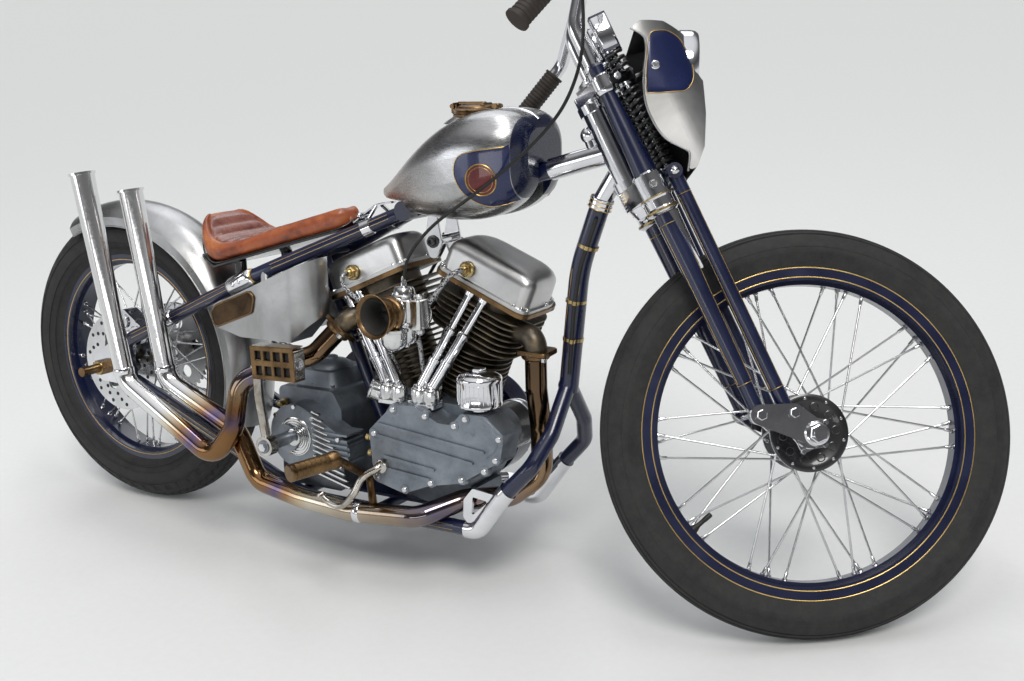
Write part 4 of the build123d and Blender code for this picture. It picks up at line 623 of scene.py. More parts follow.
def nacelle_sheet():
    """Bare brushed sheet outside, and near-black painted shade on the faces that look inwards, inside the
    open shell.
    """
    s = Shader("nacelle_sheet")
    cloud = s.noise(7, 5, 0.6, distortion=0.5)
    colour = s.ramp(cloud, [(0.3, (0.33, 0.325, 0.31)), (0.7, (0.56, 0.56, 0.56))])
    facing = s.vectors("DOT_PRODUCT", s.away(FORK, NACELLE_CENTRE), s.node("TexCoord").outputs["Normal"])
    inner = s.math("LESS_THAN", facing, 0)
    # Faces that look inwards turn near-black and lose their metal: painted shade inside the open shell
    s.set(Base_Color=s.mix(inner, colour, (0.006, 0.006, 0.007)), Metallic=s.math("SUBTRACT", 1, inner),
          Roughness=s.spread(cloud, 0.24, 0.38), Coat_Weight=0.25, Coat_Roughness=0.08)
    return s.material


FINS = engine_fins()
TANK = tank_sheet()
NACELLE = nacelle_sheet()
FRONT_HEAT = tinted_exhaust("front_pipe_tint", FRONT_PORT, 0.95)
REAR_HEAT = tinted_exhaust("rear_pipe_tint", REAR_PORT, 0.6)
TAN = leather("tan_hide", (0.1, 0.02, 0.007), (0.29, 0.066, 0.018), (0.47, 0.16, 0.042))
PLUM = leather("brown_hide", (0.12, 0.036, 0.026), (0.22, 0.08, 0.06), (0.34, 0.16, 0.12), (0.22, 0.36))
THREAD = rubber("stitch_thread", (0.08, 0.03, 0.02), (0.16, 0.07, 0.05), dust_amount=0)
GLASS = lens_glass()
BRAID = braid()

# What every CAD node is made of
FINISHES = [
    (TYRE, "rear_tyre front_tyre"), (STAINLESS, "rear_hub front_hub"), (TAN, "seat"), (TANK, "fuel_tank"),
    (BLUE, "rear_rim front_rim backbone downtube lower_rails upper_stays crossmembers"),
    (BLUE, "primary_cover fork_legs spring_legs"), (FINS, "cylinders"), (COVER, "rocker_covers"),
    (STEEL, "rear_sprocket rear_fender oil_tank drive_chain"),
    (CHROME, "steering_head cradle_lugs axle_plates brake_caliper pushrod_tubes oil_filter fork_stem"),
    (CHROME, "headlight fork_springs fork_rockers handlebar side_stand stand_bracket"),
    (BRONZE, "rear_axle fuel_cap foot_controls"), (BLACK, "seat_pan generator"), (AGED, "kick_lever"),
    (CAST, "crankcase cam_cover gearbox"), (POLISHED, "carburettor"), (FRONT_HEAT, "exhaust_front"),
    (REAR_HEAT, "exhaust_rear"), (GRIP, "handlebar_grips"), (NACELLE, "headlight_shell"),
]
for finish, names in FINISHES:
    for node in names.split():
        NODES[node].data.materials.clear()
        NODES[node].data.materials.append(finish)


# Mesh making


class Piece:
    """Collects surfaces in one millimetre frame and turns them into one object."""

    def __init__(self, place):
        self.place = place
        self.points = []
        self.faces = []

    def add(self, points, faces):
        """Adds a surface given by its points and faces."""
        start = len(self.points)
        self.points += [Vector(point) for point in points]
        self.faces += [[start + index for index in face] for face in faces]
        return self

    def rings(self, rings, closed_round=True, cap_start=False, cap_end=False, join_ends=False):
        """Skins a list of equally long rings of points."""
        count = len(rings[0])
        points = [point for ring in rings for point in ring]
        faces = []
        rows = len(rings)
        for row in range(rows if join_ends else rows - 1):
            below, above = row * count, ((row + 1) % rows) * count
            for index in range(count if closed_round else count - 1):
                following = (index + 1) % count
                faces.append([below + index, below + following, above + following, above + index])
        if cap_start:
            faces.append(list(range(count))[::-1])
        if cap_end:
            faces.append([(rows - 1) * count + index for index in range(count)])
        return self.add(points, faces)

    def lathe(self, profile, local=None, segments=32, close=False, caps=True):
        """Turns (radius, height) pairs about the local Z axis."""
        local = local or Matrix.Identity(4)
        rings = [[local @ Vector((x, y, height)) for x, y in circle(radius, segments)] for radius,
                 height in profile]
        caps = caps and not close
        return self.rings(rings, True, caps and profile[0][0] > 0.01, caps and profile[-1][0] > 0.01, close)

    def tube(self, path, radius, sides=12, capped=True):
        """A round tube along a path, whose radius is one number or one for each point."""
        path = [Vector(point) for point in path]
        radii = radius if isinstance(radius, (list, tuple)) else [radius] * len(path)
        side = (path[1] - path[0]).normalized().orthogonal().normalized()
        rings = []
        for index, (point, size) in enumerate(zip(path, radii)):
            turned = heading_at(path, index)
            side = (side - turned * side.dot(turned)).normalized()
            other = turned.cross(side)
            rings.append([point + (side * x + other * y) * size for x, y in circle(1, sides)])
        return self.rings(rings, True, capped, capped)

    def prism(self, outline, low, high, local=None, chamfer=0):
        """A flat outline raised from low to high, its two rims chamfered."""
        local = local or Matrix.Identity(4)
        flat = [Vector((x, y, 0)) for x, y in outline]
        area = sum(a.x * b.y - b.x * a.y for a, b in zip(flat, flat[1:] + flat[:1]))
        if area < 0:
            flat.reverse()
        layers = [(flat, low), (flat, high)]
        if chamfer:
            inner = shrunk(flat, chamfer)
            layers = [(inner, low), (flat, low + chamfer), (flat, high - chamfer), (inner, high)]
        rings = [[local @ Vector((p.x, p.y, height)) for p in shape] for shape, height in layers]
        return self.rings(rings, True, True, True)

    def bolt(self, local, radius, height, kind="hex"):
        """A fastener standing on the local XY plane: hex, dome, socket or screw."""
        if kind == "hex":
            washer = height * 0.16
            self.lathe([(radius * 1.25, 0), (radius * 1.25, washer)], local, 20)
            self.prism(hexagon(radius), washer, height, local, radius * 0.12)
        elif kind == "dome":
            arc = [(radius * math.cos(a), height * math.sin(a)) for a in (0, 0.4, 0.8, 1.15, 1.45)]
            self.lathe(arc + [(0.001, height)], local, 18)
        elif kind == "socket":
            floor = height * 0.45
            self.lathe([(radius, 0), (radius, height * 0.85), (radius * 0.9, height), (radius * 0.55, height),
                        (radius * 0.5, floor), (0.001, floor)], local, 18)
        else:
            self.lathe([(radius, 0), (radius, height * 0.6), (radius * 0.82, height), (0.001, height)],
                       local, 20)
            x, y = radius * 0.8, radius * 0.16
            self.prism([(-x, -y), (x, -y), (x, y), (-x, y)], height, height * 1.06, local)
        return self

    def make(self, name, material, body, slot, angle=35):
        """Turns the surfaces into one object that rides a body; edges sharper than the angle stay sharp."""
        mesh = bpy.data.meshes.new(name)
        mesh.from_pydata([self.place @ point for point in self.points], [], self.faces)
        mesh.validate()
        mesh.materials.append(material)
        mesh.polygons.foreach_set("use_smooth", [True] * len(mesh.polygons))
        mesh.set_sharp_from_angle(angle=math.radians(angle))
        mesh.update()
        thing = add_to_scene(name, mesh)
        if body is not None:
            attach(thing, body)
        return thing


def shrunk(flat, amount):
    """The outline moved inwards by an amount along its corner normals."""
    moved = []
    count = len(flat)
    for index, point in enumerate(flat):
        ahead = (flat[(index + 1) % count] - point).normalized()
        behind = (point - flat[index - 1]).normalized()
        normal = Vector((-(ahead.y + behind.y), ahead.x + behind.x, 0))
        normal.normalize()
        side = Vector((-ahead.y, ahead.x, 0))
        moved.append(point + normal * (amount / max(normal.dot(side), 0.4)))
    return moved


def heading_at(path, index):
    """The direction of a path at one of its points."""
    return (path[min(index + 1, len(path) - 1)] - path[max(index - 1, 0)]).normalized()


def middle_of(outline):
    """The mean of an outline's points."""
    return Vector((sum(p[0] for p in outline) / len(outline), sum(p[1] for p in outline) / len(outline)))


def facing_out(rows, side):
    """The rings of a patch, turned round on the right so that its faces look outwards."""
    return rows if side > 0 else [row[::-1] for row in rows]


def smooth_path(points, steps=8):
    """A curve through the given points."""
    points = [Vector(point) for point in points]
    result = []
    for index in range(len(points) - 1):
        b, c = points[index], points[index + 1]
        a = points[index - 1] if index else b * 2 - c
        d = points[index + 2] if index + 2 < len(points) else c * 2 - b
        for step in range(steps):
            t = step / steps
            result.append(0.5 * (2 * b + (c - a) * t + (2 * a - 5 * b + 4 * c - d) * t ** 2
                                 + (3 * b - a - 3 * c + d) * t ** 3))
    result.append(points[-1])
    return result


def rounded(points, radii, steps=5):
    """A closed flat outline whose corners are rounded, each by its own radius."""
    flat = [Vector((x, y)) for x, y in points]
    count = len(flat)
    radii = radii if isinstance(radii, (list, tuple)) else [radii] * count
    outline = []
    for index, corner in enumerate(flat):
        to_before = flat[index - 1] - corner
        to_after = flat[(index + 1) % count] - corner
        reach = min(radii[index], to_before.length * 0.48, to_after.length * 0.48)
        start = corner + to_before.normalized() * reach
        end = corner + to_after.normalized() * reach
        for step in range(steps + 1):
            t = step / steps
            point = start * (1 - t) ** 2 + corner * 2 * t * (1 - t) + end * t ** 2
            outline.append((point.x, point.y))
    return outline


def evened(outline, step=6):
    """A closed outline with points at even, short steps."""
    result = []
    for a, b in zip(outline, outline[1:] + outline[:1]):
        a, b = Vector(a), Vector(b)
        count = max(1, round((b - a).length / step))
        for number in range(count):
            point = a.lerp(b, number / count)
            result.append((point.x, point.y))
    return result


def box_outline(width, height, radius, centre=(0, 0)):
    """A rectangle with rounded corners."""
    x, y = width / 2, height / 2
    corners = [(-x, -y), (x, -y), (x, y), (-x, y)]
    return [(px + centre[0], py + centre[1]) for px, py in rounded(corners, radius)]


def pixel_ray(px, py):
    """The camera's place and the direction through a pixel of the picture."""
    camera = bpy.context.scene.camera.matrix_world
    ray = Vector(((px - PICTURE_WIDTH / 2) / LENS_PIXELS, (PICTURE_HEIGHT / 2 - py) / LENS_PIXELS, -1))
    return camera.translation, (camera.to_3x3() @ ray).normalized()


def seen_on(node, pixels):
    """Where pixels fall on a CAD node, in the upright bike's frame."""
    found = []
    for px, py in pixels:
        start, aim = pixel_ray(px, py)
        hit, _, _, _ = surface(node).ray_cast(start, aim, 12)
        if hit is not None:
            found.append(BIKE.inverted() @ hit)
    return found


TREES = {}


def surface(node):
    """A CAD node's mesh, ready for rays."""
    if node not in TREES:
        mesh = NODES[node].data
        mesh.calc_loop_triangles()
        points = [v.co.copy() for v in mesh.vertices]
        TREES[node] = BVHTree.FromPolygons(points, [t.vertices[:] for t in mesh.loop_triangles])
    return TREES[node]


def onto(node, point, direction, proud=0):
    """A point of the upright bike's frame sent along a direction onto a CAD node, then lifted off it."""
    start = BIKE @ Vector(point)
    aim = (BIKE.to_3x3() @ Vector(direction)).normalized()
    hit, normal, _, _ = surface(node).ray_cast(start, aim, 1)
    if hit is None:
        return None
    if normal.dot(aim) > 0:
        normal = -normal
    return BIKE.inverted() @ (hit + normal * proud * MM)


def patch(node, outline, side, start_level, proud, rings):
    """Rings of points for a thin patch with an (x, z) outline, sent onto a CAD node from one side."""
    centre = middle_of(outline)
    layers = []
    for ring in range(rings + 1):
        share = max(ring / rings, 0.02)
        row = []
        for x, z in outline:
            flat = centre + (Vector((x, z)) - centre) * share
            row.append(onto(node, (flat.x, side * start_level, flat.y), (0, -side, 0), proud))
        layers.append(row)
    known = [point for row in layers for point in row if point is not None]
    for row in layers:
        for index, point in enumerate(row):
            if point is None:
                x, z = outline[index]
                row[index] = min(known, key=lambda p: (p.x - x) ** 2 + (p.z - z) ** 2)
    return layers


# Wheels: ribbed front tyre, blocked rear tyre, gilt rim lines and spoke nipples


def tyre_profile(outer, width, bead_radius, bead_half, grooves, groove_depth, groove_half):
    """A tyre's section from bead to bead round the crown, with grooves cut in the tread."""
    crown = outer - width / 2
    half = width / 2 - 0.2
    profile = [(bead_radius, bead_half - 1), (bead_radius + 12, bead_half + 1.5)]
    for step in range(97):
        angle = math.radians(-6 + 192 * step / 96)
        profile.append((crown + half * math.sin(angle), half * math.cos(angle)))
    profile += [(bead_radius + 12, -bead_half - 1.5), (bead_radius, -bead_half + 1)]
    cut = []
    for radius, across in profile:
        on_tread = radius > crown + half * 0.35
        grooved = on_tread and any(abs(across - groove) < groove_half for groove in grooves)
        depth = groove_depth if grooved else 0
        lean = math.atan2(across, max(radius - crown, 0.001))
        cut.append((radius - depth * math.cos(lean), across - depth * math.sin(lean)))
    return cut


def wall_ribs(tyre, ribs, size):
    """Fine ribs round both walls, given as (radius, across)."""
    for rib in ribs:
        for side in (-1, 1):
            ring = [(radius, side * across) for radius, across in hexagon(size, rib)]
            tyre.lathe(ring, segments=120, close=True)


def front_tyre():
    """The ribbed front tyre, its grooves in the turned profile."""
    made = Piece(FRONT_WHEEL @ ON_AXLE)
    grooves = [-27, -18.5, -10, 0, 10, 18.5, 27]
    profile = tyre_profile(FRONT_RADIUS, 80, 259.7, 26.3, grooves, 2.2, 1.5)
    made.lathe(profile, segments=180, close=True)
    wall_ribs(made, ((312, 38.9), (308.5, 38.6), (290, 33.4)), 0.9)
    tyre = made.make("ribbed_front_tyre", TYRE, "front_wheel", "tyre_rubber", 28)
    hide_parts("front_tyre")


REAR_WIDTH = 112
# The rear tread: its middle blocks end at the first share of a quarter turn and its shoulder blocks at
# the second; zigzag grooves part the middle ones
MIDDLE_BLOCKS, SHOULDER_BLOCKS = 0.56, 0.72
ZIGZAGS, ZIGZAG_REACH, ZIGZAG_HALF, ZIGZAG_DEPTH = 80, 3.4, 1.7, 3
SHOULDER_GAPS, SHOULDER_DEPTH = 100, 2.6


def tread_depth(step, segments, lean, lateral):
    """How deep the rear tread is cut at a step round the wheel and a lean across it."""
    share = abs(lean) / (math.pi / 2)
    if share < MIDDLE_BLOCKS:
        zigzag = ZIGZAG_REACH * (abs(((step * ZIGZAGS / segments) % 1) * 2 - 1) * 2 - 1)
        if any(abs(lateral - groove - zigzag) < ZIGZAG_HALF for groove in (-34, -17, 0, 17, 34)):
            return ZIGZAG_DEPTH
    elif share < SHOULDER_BLOCKS and (step * SHOULDER_GAPS // segments) % 2 == 0:
        return SHOULDER_DEPTH
    return 0


def rear_tyre():
    """The rear tyre, its tread cut point by point."""
    crown, half = REAR_RADIUS - REAR_WIDTH / 2, REAR_WIDTH / 2 - 0.2
    made = Piece(REAR_WHEEL @ ON_AXLE)
    segments, across_steps = 400, 64
    rings = []
    for step in range(segments):
        ring = [(222, 32), (232, 33.5)]
        for k in range(across_steps + 1):
            angle = math.radians(-8 + 196 * k / across_steps)
            lean = math.pi / 2 - angle
            reach = half - tread_depth(step, segments, lean, half * lean)
            ring.append((crown + reach * math.sin(angle), reach * math.cos(angle)))
        ring += [(232, -33.5), (222, -32)]
        turn = 2 * math.pi * step / segments
        rings.append([Vector((*polar(radius, turn), across)) for radius, across in ring])
    made.rings(rings, closed_round=False, join_ends=True)
    wall_ribs(made, ((290, 53.6), (262, 55.1), (247, 50)), 1)
    tyre = made.make("treaded_rear_tyre", TYRE, "rear_wheel", "tyre_rubber", 28)
    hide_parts("rear_tyre")


SPOKES = 40
# How far round the wheel a spoke runs from its hub to its rim
SPOKE_CROSSING = math.radians(42)


def wheel_details(place, body, flange, rim_width, hub_flange, name):
    """Gilt lines and rolled beads on the rim, and the spokes' nipples and heads."""
    lines = Piece(place @ ON_AXLE)
    rims = Piece(place @ ON_AXLE)
    for side in (-1, 1):
        at = side * (rim_width / 2 + 0.1)
        for radius in (flange - 4, flange - 20):
            ring = [(radius - 0.9, at), (radius - 0.4, at + side * 0.5), (radius + 0.4, at + side * 0.5),
                    (radius + 0.9, at)]
            lines.lathe(ring[::side], segments=140, close=True)
        bead = circle(2.3, 8, (flange + 0.6, side * (rim_width / 2 - 1.7)))
        rims.lathe(bead, segments=140, close=True)
    lines.make(f"{name}_rim_lines", GOLD, body, "bronze", 60)
    rims.make(f"{name}_rim_beads", BLUE, body, "dark_blue_paint")
    nipple_radius = flange - 32.8
    lacing = hub_flange - 7
    nipples = Piece(place)
    heads = Piece(place)
    for number, at_hub in enumerate(turns(SPOKES)):
        side = 1 if number % 2 else -1
        leading = 1 if number % 4 < 2 else -1
        at_rim = at_hub + SPOKE_CROSSING * leading
        start = Vector((lacing * math.cos(at_hub), side * (34 + 2.2 * leading), lacing * math.sin(at_hub)))
        end = Vector((nipple_radius * math.cos(at_rim), side * (5 + 3 * leading),
                      nipple_radius * math.sin(at_rim)))
        nipples.lathe([(4.6, -1), (4.6, 1.5), (3.1, 2.4), (3.1, 12), (2.5, 13.5), (2, 13.6)],
                      aimed(end, start - end), 10)
        knot = aimed((start.x, side * (34 + 3.6 * leading), start.z), (0, side * leading, 0))
        heads.lathe([(3.4, -0.4), (3.4, 0.8), (2.2, 2), (0.01, 2.4)], knot, 10)
    nipples.make(f"{name}_spoke_nipples", STAINLESS, body, "chrome")
    heads.make(f"{name}_spoke_heads", STAINLESS, body, "chrome")


def valves():
    """Each wheel's valve stem with its cap."""
    profile = [(8, -1), (7, 3), (4.2, 10), (4, 22), (4.6, 22.5), (4.6, 36), (3.4, 38.5), (0.01, 39)]
    for place, body, name, radius in ((FRONT_WHEEL, "front_wheel", "tyre_valve", 247.5),
                                      (REAR_WHEEL, "rear_wheel", "rear_tyre_valve", 209.5)):
        x, z = polar(radius, math.radians(196))
        foot = Vector((x, 0, z))
        made = Piece(place)
        made.lathe(profile, aimed(foot, -foot), 20)
        made.make(name, HOSE, body, "tyre_rubber")


def on_hub(radius, angle, across):
    """A local frame on a wheel's side, looking outwards; the sign of across is the side."""
    x, z = polar(radius, angle)
    return aimed((x, across, z), (0, math.copysign(1, across), 0))


def front_hub_trim():
    """Black drilled flanges with bright star caps and bolts."""
    made = Piece(FRONT_WHEEL)
    bolts = Piece(FRONT_WHEEL)
    star = Piece(FRONT_WHEEL)
    for side in (-1, 1):
        made.lathe([(26, 0), (64.8, 0), (64.8, 1.1), (62.5, 2), (52.5, 2), (50, 0.6), (26, 0.6)],
                   on_hub(0, 0, side * 37.2), 64, True)
        for angle in turns(10, 18):
            made.lathe([(7.6, -1.4), (7.6, 0.4), (6.4, 0.7), (6, 0.4), (6, -1.4)],
                       on_hub(44.2, angle, side * 38.6), 18, True)
        for angle in turns(5, 10):
            bolts.bolt(on_hub(32, angle, side * 39.4), 4.6, 5)
        outline = [polar(27 if number % 2 else 38, angle) for number, angle in enumerate(turns(10, 10))]
        local = on_hub(0, 0, side * 37.4)
        star.prism(rounded(outline, 5, 4), 0, 3, local, 0.8)
        star.lathe([(27, 2), (24.5, 8), (24.5, 10), (20, 11.5), (12, 11.8)], local, 36)
    made.make("drilled_hub_rings", BLACK, "front_wheel", "black_paint")
    star.make("hub_star_caps", CHROME, "front_wheel", "chrome")
    bolts.make("hub_bolts", STAINLESS, "front_wheel", "chrome")


front_tyre()
rear_tyre()
wheel_details(FRONT_WHEEL, "front_wheel", 281, 60, 65, "front")
wheel_details(REAR_WHEEL, "rear_wheel", 243, 70, 58, "rear")
valves()
front_hub_trim()


# Fork: wound springs, crown trim, spear guards and rocker hardware


def helix(centre, radius, low, high, turns_up):
    """A coil's path, with its end turns a little closer than the others."""
    path = []
    total = int(turns_up * 20)
    for step in range(total + 1):
        t = step / total
        share = t - 0.014 * math.sin(2 * math.pi * t)
        path.append(Vector((*polar(radius, 2 * math.pi * turns_up * t, centre), low + (high - low) * share)))
    return path


# A leg's radius 15 mm up its taper, which widens by 3.1 mm over 195 mm
FOOT_RADIUS = 12.6 + 3.1 * 15 / 195


def springs():
    """Wound springs on their rods, with the cups at their ends."""
    coils = Piece(FORK)
    rods = Piece(FORK)
    cups = Piece(FORK)
    for side in (-1, 1):
        centre = (SPRING_X, side * SPRING_APART)
        coils.tube(helix(centre, 13.1, 503.5, 653.5, 12.5), 3.7, 10)
        coils.tube(helix(centre, 13.1, 680.2, 716, 3), 3.7, 10)
        local = Matrix.Translation((*centre, 0))
        rods.lathe([(5.9, 499.4), (5.9, 719.9)], local, 20)
        for profile in ([(16.8, 499.4), (16.8, 502.6), (15, 503.4), (6, 503.4)],
                        [(6, 654), (15.5, 654), (16.8, 655), (16.8, 657.6), (6, 657.6)],
                        [(6, 676.4), (16.8, 676.4), (16.8, 678.6), (15.5, 679.6), (6, 679.6)],
                        [(6, 716.4), (16, 716.4), (16.8, 717.4), (16.8, 719.9), (6, 719.9)]):
            cups.lathe(profile, local, 32)
    wound = coils.make("wound_springs", BLACK, "fork", "spring_black", 60)
    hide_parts("fork_springs")
    rods.make("spring_rods", CHROME, "fork", "chrome")
    cups.make("spring_cups", CHROME, "fork", "chrome")


def spear(centre, radius, top, tip):
    """Rings of a bright guard that wraps a leg's front and runs down to a point."""
    rings = []
    rows, columns = 26, 16
    for row in range(rows + 1):
        down = row / rows
        spread = math.radians(78) * (1 - down) ** 0.62
        level = top - (top - tip) * down
        outer_row, inner_row = [], []
        for column in range(columns + 1):
            share = 2 * column / columns - 1
            ridge = 2.4 * (1 - abs(share) ** 2) + 0.5
            outer = radius + (1.6 + ridge) * (1 - 0.35 * down)
            outer_row.append(Vector((*polar(outer, spread * share, centre), level)))
            inner_row.append(Vector((*polar(radius - 3, spread * share, centre), level)))
        rings.append(outer_row + inner_row[::-1])
    return rings


def spring_caps():
    """Bright rounded caps over the blocks above the springs."""
    made = Piece(FORK)
    for side in (-1, 1):
        made.prism(box_outline(31.2, 25.2, 5, (SPRING_X, side * SPRING_APART)), 720.6, 787.4, None, 5.5)
    made.make("spring_caps", CHROME, "fork", "chrome", 50)


def crown_trim():
    """Turned collars and spears on the legs, the stem's foot and the crowns' bolts."""
    trim = Piece(FORK)
    gilt = Piece(FORK)
    bolts = Piece(FORK)
    for side in (-1, 1):
        leg = (LEG_X, side * LEG_APART)
        local = Matrix.Translation((*leg, 0))
        trim.lathe([(20.2, 461.8), (27.5, 461.8), (27.5, 458), (25, 455), (25, 441), (27.2, 438),
                    (27.2, 434), (24, 430.5), (19.4, 428)], local, 40)
        gilt.lathe([(27.6, 438.2), (28.3, 437.4), (28.3, 434.6), (27.6, 433.8)], local, 40)
        gilt.lathe([(27.9, 460.6), (28.5, 460), (28.5, 458.6), (27.9, 458)], local, 40)
        trim.lathe([(20.4, 496.1), (25.5, 496.1), (25.5, 499.5), (23, 502.5), (20.6, 503)], local, 40)
        trim.rings(spear(leg, 19.4, 428.5, 322), True, True, True)
        trim.lathe([(13.2, 676.2), (17.5, 676.2), (17.5, 680.5), (15, 683.5), (13.2, 684)], local, 32)
        trim.lathe([(13.2, 649), (16.6, 650), (18.4, 653), (18.4, 657.8), (13.2, 657.8)], local, 32)
        bolts.bolt(aimed((30, side * 52, 676), UP), 5.5, 6, "socket")
        bolts.bolt(aimed((41, side * 89.5, 667), (0.3, side, 0)), 5, 5)
        bolts.bolt(aimed((LEG_X, side * 96.6, 479), (0, side, 0)), 6, 5.5)
        bolts.bolt(aimed((SPRING_X, side * 84.2, 486), (0, side, 0)), 8, 6.5, "dome")
    trim.lathe([(0.01, 440), (11, 440), (17, 443), (19, 448), (22, 455), (24, 461.8)], None, 36)
    for level in (467, 472.5, 478, 483.5, 489):
        trim.lathe([(29.2, level - 1.6), (30.6, level), (29.2, level + 1.6)], None, 48)
    trim.make("crown_trim", CHROME, "fork", "chrome")
    gilt.make("crown_gilt_rims", BRASS, "fork", "bronze")
    bolts.bolt(aimed((0, 0, 687), UP), 15, 12, "dome")
    bolts.make("crown_bolts", STAINLESS, "fork", "chrome")


def fork_hardware():
    """The rockers' nuts, and gilt rings and lines on both pairs of legs."""
    nuts = Piece(FORK)
    gilt = Piece(FORK)
    for side in (-1, 1):
        face = side * 94.2
        for x, z, size in ((16, 65, 9), (66, 46, 8.5)):
            nuts.bolt(aimed((x, face, z), (0, side, 0)), size, 9)
        axle = aimed((FORK_OFFSET, face, 0), (0, side, 0))
        nuts.lathe([(21, 0), (18.5, 3), (18.5, 5), (15, 6), (10.2, 6)], axle, 36)
        nuts.prism(hexagon(15), 4, 13, axle, 1.4)
        leg = (LEG_X, side * LEG_APART)
        spring_leg = (SPRING_X, side * LEG_APART)
        for z, radius in ((120, FOOT_RADIUS), (410, 18.4)):
            gilt.lathe([(radius + 0.1, z), (radius + 0.7, z + 0.8), (radius + 0.1, z + 1.6)],
                       Matrix.Translation((*leg, 0)), 32)
        for z in (92, 446):
            gilt.lathe([(12.6, z), (13.2, z + 0.8), (12.6, z + 1.6)], Matrix.Translation((*spring_leg, 0)),
                       32)
        for turn in (60, -60):
            angle = math.radians(turn + 90 * side)
            path = [(*polar(radius + 0.15, angle, leg), z) for z,
                    radius in ((124, 13.2), (300, 15.5), (408, 18.1))]
            gilt.tube(path, 0.55, 6)
            gilt.tube([(*polar(12.6, angle, spring_leg), z) for z in (95, 444)], 0.5, 6)
    nuts.make("rocker_nuts", CHROME, "fork", "chrome")
    gilt.make("fork_gilt_lines", GOLD, "fork", "bronze", 60)


springs()
spring_caps()
crown_trim()
fork_hardware()


# Headlight: shell trim, blue panels, rim, lens and reflector

SHELL_RADIUS = 98.2
SHELL_FLAT_TO = 93.8


def shell_side(x, z, side, proud):
    """A point on the headlight shell's rounded side."""
    radius = SHELL_RADIUS + proud
    if x <= SHELL_FLAT_TO:
        return Vector((x, side * radius, z))
    angle = math.asin(min((x - SHELL_FLAT_TO) / SHELL_RADIUS, 0.995))
    return Vector((SHELL_FLAT_TO + radius * math.sin(angle), side * radius * math.cos(angle), z))


def shell_panel():
    """A blue panel with a gilt line and a bolt on each side of the shell."""
    outline = rounded([(71, 619), (77, 634), (86, 654), (98, 674), (109, 696), (120, 710), (148, 704),
                       (165, 686), (167, 664), (166, 636), (155, 610), (133, 596), (98, 607)],
                      [3, 7, 9, 9, 9, 9, 10, 9, 9, 11, 12, 9, 9], 4)
    outline = evened(outline)
    centre = middle_of(outline)
    for side, word in ((1, "left"), (-1, "right")):
        rows = []
        for ring in range(11):
            share = max(ring / 10, 0.02)
            lift = 0.7 if ring < 10 else 0.1
            rows.append([shell_side(centre.x + (x - centre.x) * share, centre.y + (z - centre.y) * share,
                                    side, lift)
                         for x, z in outline])
        panel = Piece(FORK)
        panel.rings(facing_out(rows, side), True, True, False)
        panel.make(f"shell_panel_{word}", BLUE_PANEL, "fork", "dark_blue_paint", 60)
        edge = Piece(FORK)
        path = [shell_side(x, z, side, 0.7) for x, z in outline]
        edge.tube(path + [path[0]], 0.8, 6, False)
        edge.make(f"shell_panel_line_{word}", GOLD, "fork", "bronze", 60)
        bolt = Piece(FORK)
        spot = shell_side(103, 655, side, 0.6)
        bolt.lathe([(7.4, 0), (7.4, 1.4), (6.2, 2.2)], aimed(spot, (0, side, 0)), 28)
        bolt.bolt(aimed(spot + Vector((0, side * 1.8, 0)), (0, side, 0)), 4.8, 3.6, "socket")
        bolt.make(f"shell_bolt_{word}", CHROME, "fork", "chrome")


def lamp_face():
    """The headlight's rim, reflector, lens and bucket on their level axis, and the shell's rolled edges."""
    place = aimed((172, 0, 640), (math.cos(RAKE), 0, -math.sin(RAKE)), (0, 1, 0))
    rim = Piece(FORK)
    rim.lathe([(66.4, -24), (68.5, -22), (69.5, -4), (69, 3), (66, 8), (60.5, 9.5), (58.5, 7),
               (58.5, 2)], place, 72, True)
    rim.make("lamp_rim", CHROME, "fork", "chrome")
    bowl = Piece(FORK)
    bowl.lathe([(58, 3), (52, -10), (40, -26), (22, -38), (8, -41), (0.01, -41)], place, 64)
    bowl.lathe([(0.01, -20), (7, -22), (9, -28), (9, -40)], place, 24)
    bowl.make("lamp_reflector", CHROME, "fork", "chrome")
    lens = Piece(FORK)
    lens.lathe([(0.01, 17), (16, 16), (32, 13.5), (46, 9.5), (58, 3.4), (57, 1.4), (44, 7),
                (30, 10.5), (15, 12.6), (0.01, 13.4)], place, 64)
    lens.make("lamp_lens", GLASS, "fork", "lamp_glass", 60)
    case = Piece(FORK)
    case.lathe([(0.01, -50), (30, -50), (52, -42), (62, -26), (65.5, -8), (65.5, 4), (58, 6),
                (57, -12), (48, -34), (28, -45), (0.01, -46)], place, 64)
    case.tube([(80, 0, 667), (118, 0, 667), (136, 0, 662)], [8, 8, 10], 20)
    bucket = case.make("lamp_bucket", BLACK, "fork", "black_paint")
    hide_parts("headlight")
    edge = Piece(FORK)
    outline = [(77, 474), (92, 500), (84, 514), (66, 540), (60, 576), (64, 612), (80, 650), (100, 684),
               (106, 706), (92, 728)]
    for side in (-1, 1):
        edge.tube(smooth_path([(x, side * SHELL_RADIUS, z) for x, z in outline], 5), 1.9, 8)
    edge.make("shell_rolled_edges", STEEL, "fork", "bare_metal", 60)


shell_panel()
lamp_face()


# Seat: padded hide over the pan, a plain broad border and a tucked middle

NOSE_X, NOSE_RADIUS = 582, 37
TAIL_X, TAIL_RADIUS = 360, 103.5
# The hide's rearmost place, and how far its ends round off at the nose and the tail
REAR_X = 258
NOSE_END, TAIL_END = 26, 20
# Lower powers make the section squarer, across and up
ACROSS_POWER, UP_POWER = 0.34, 0.5
CROWN = 1.2
SEAT_LINE = [
    # forward, up along the pan's top, and up along the top's middle
    (617, 651.5, 684), (600, 646.5, 684.5), (560, 634.8, 673), (500, 617.3, 655.5), (440, 599.8, 636.5),
    (396, 587, 622), (362, 577.5, 617), (338, 575.5, 618.5), (312, 585.5, 628), (292, 599, 645),
    (274, 620, 660.5), (262, 636, 664), (258, 645, 660),
]


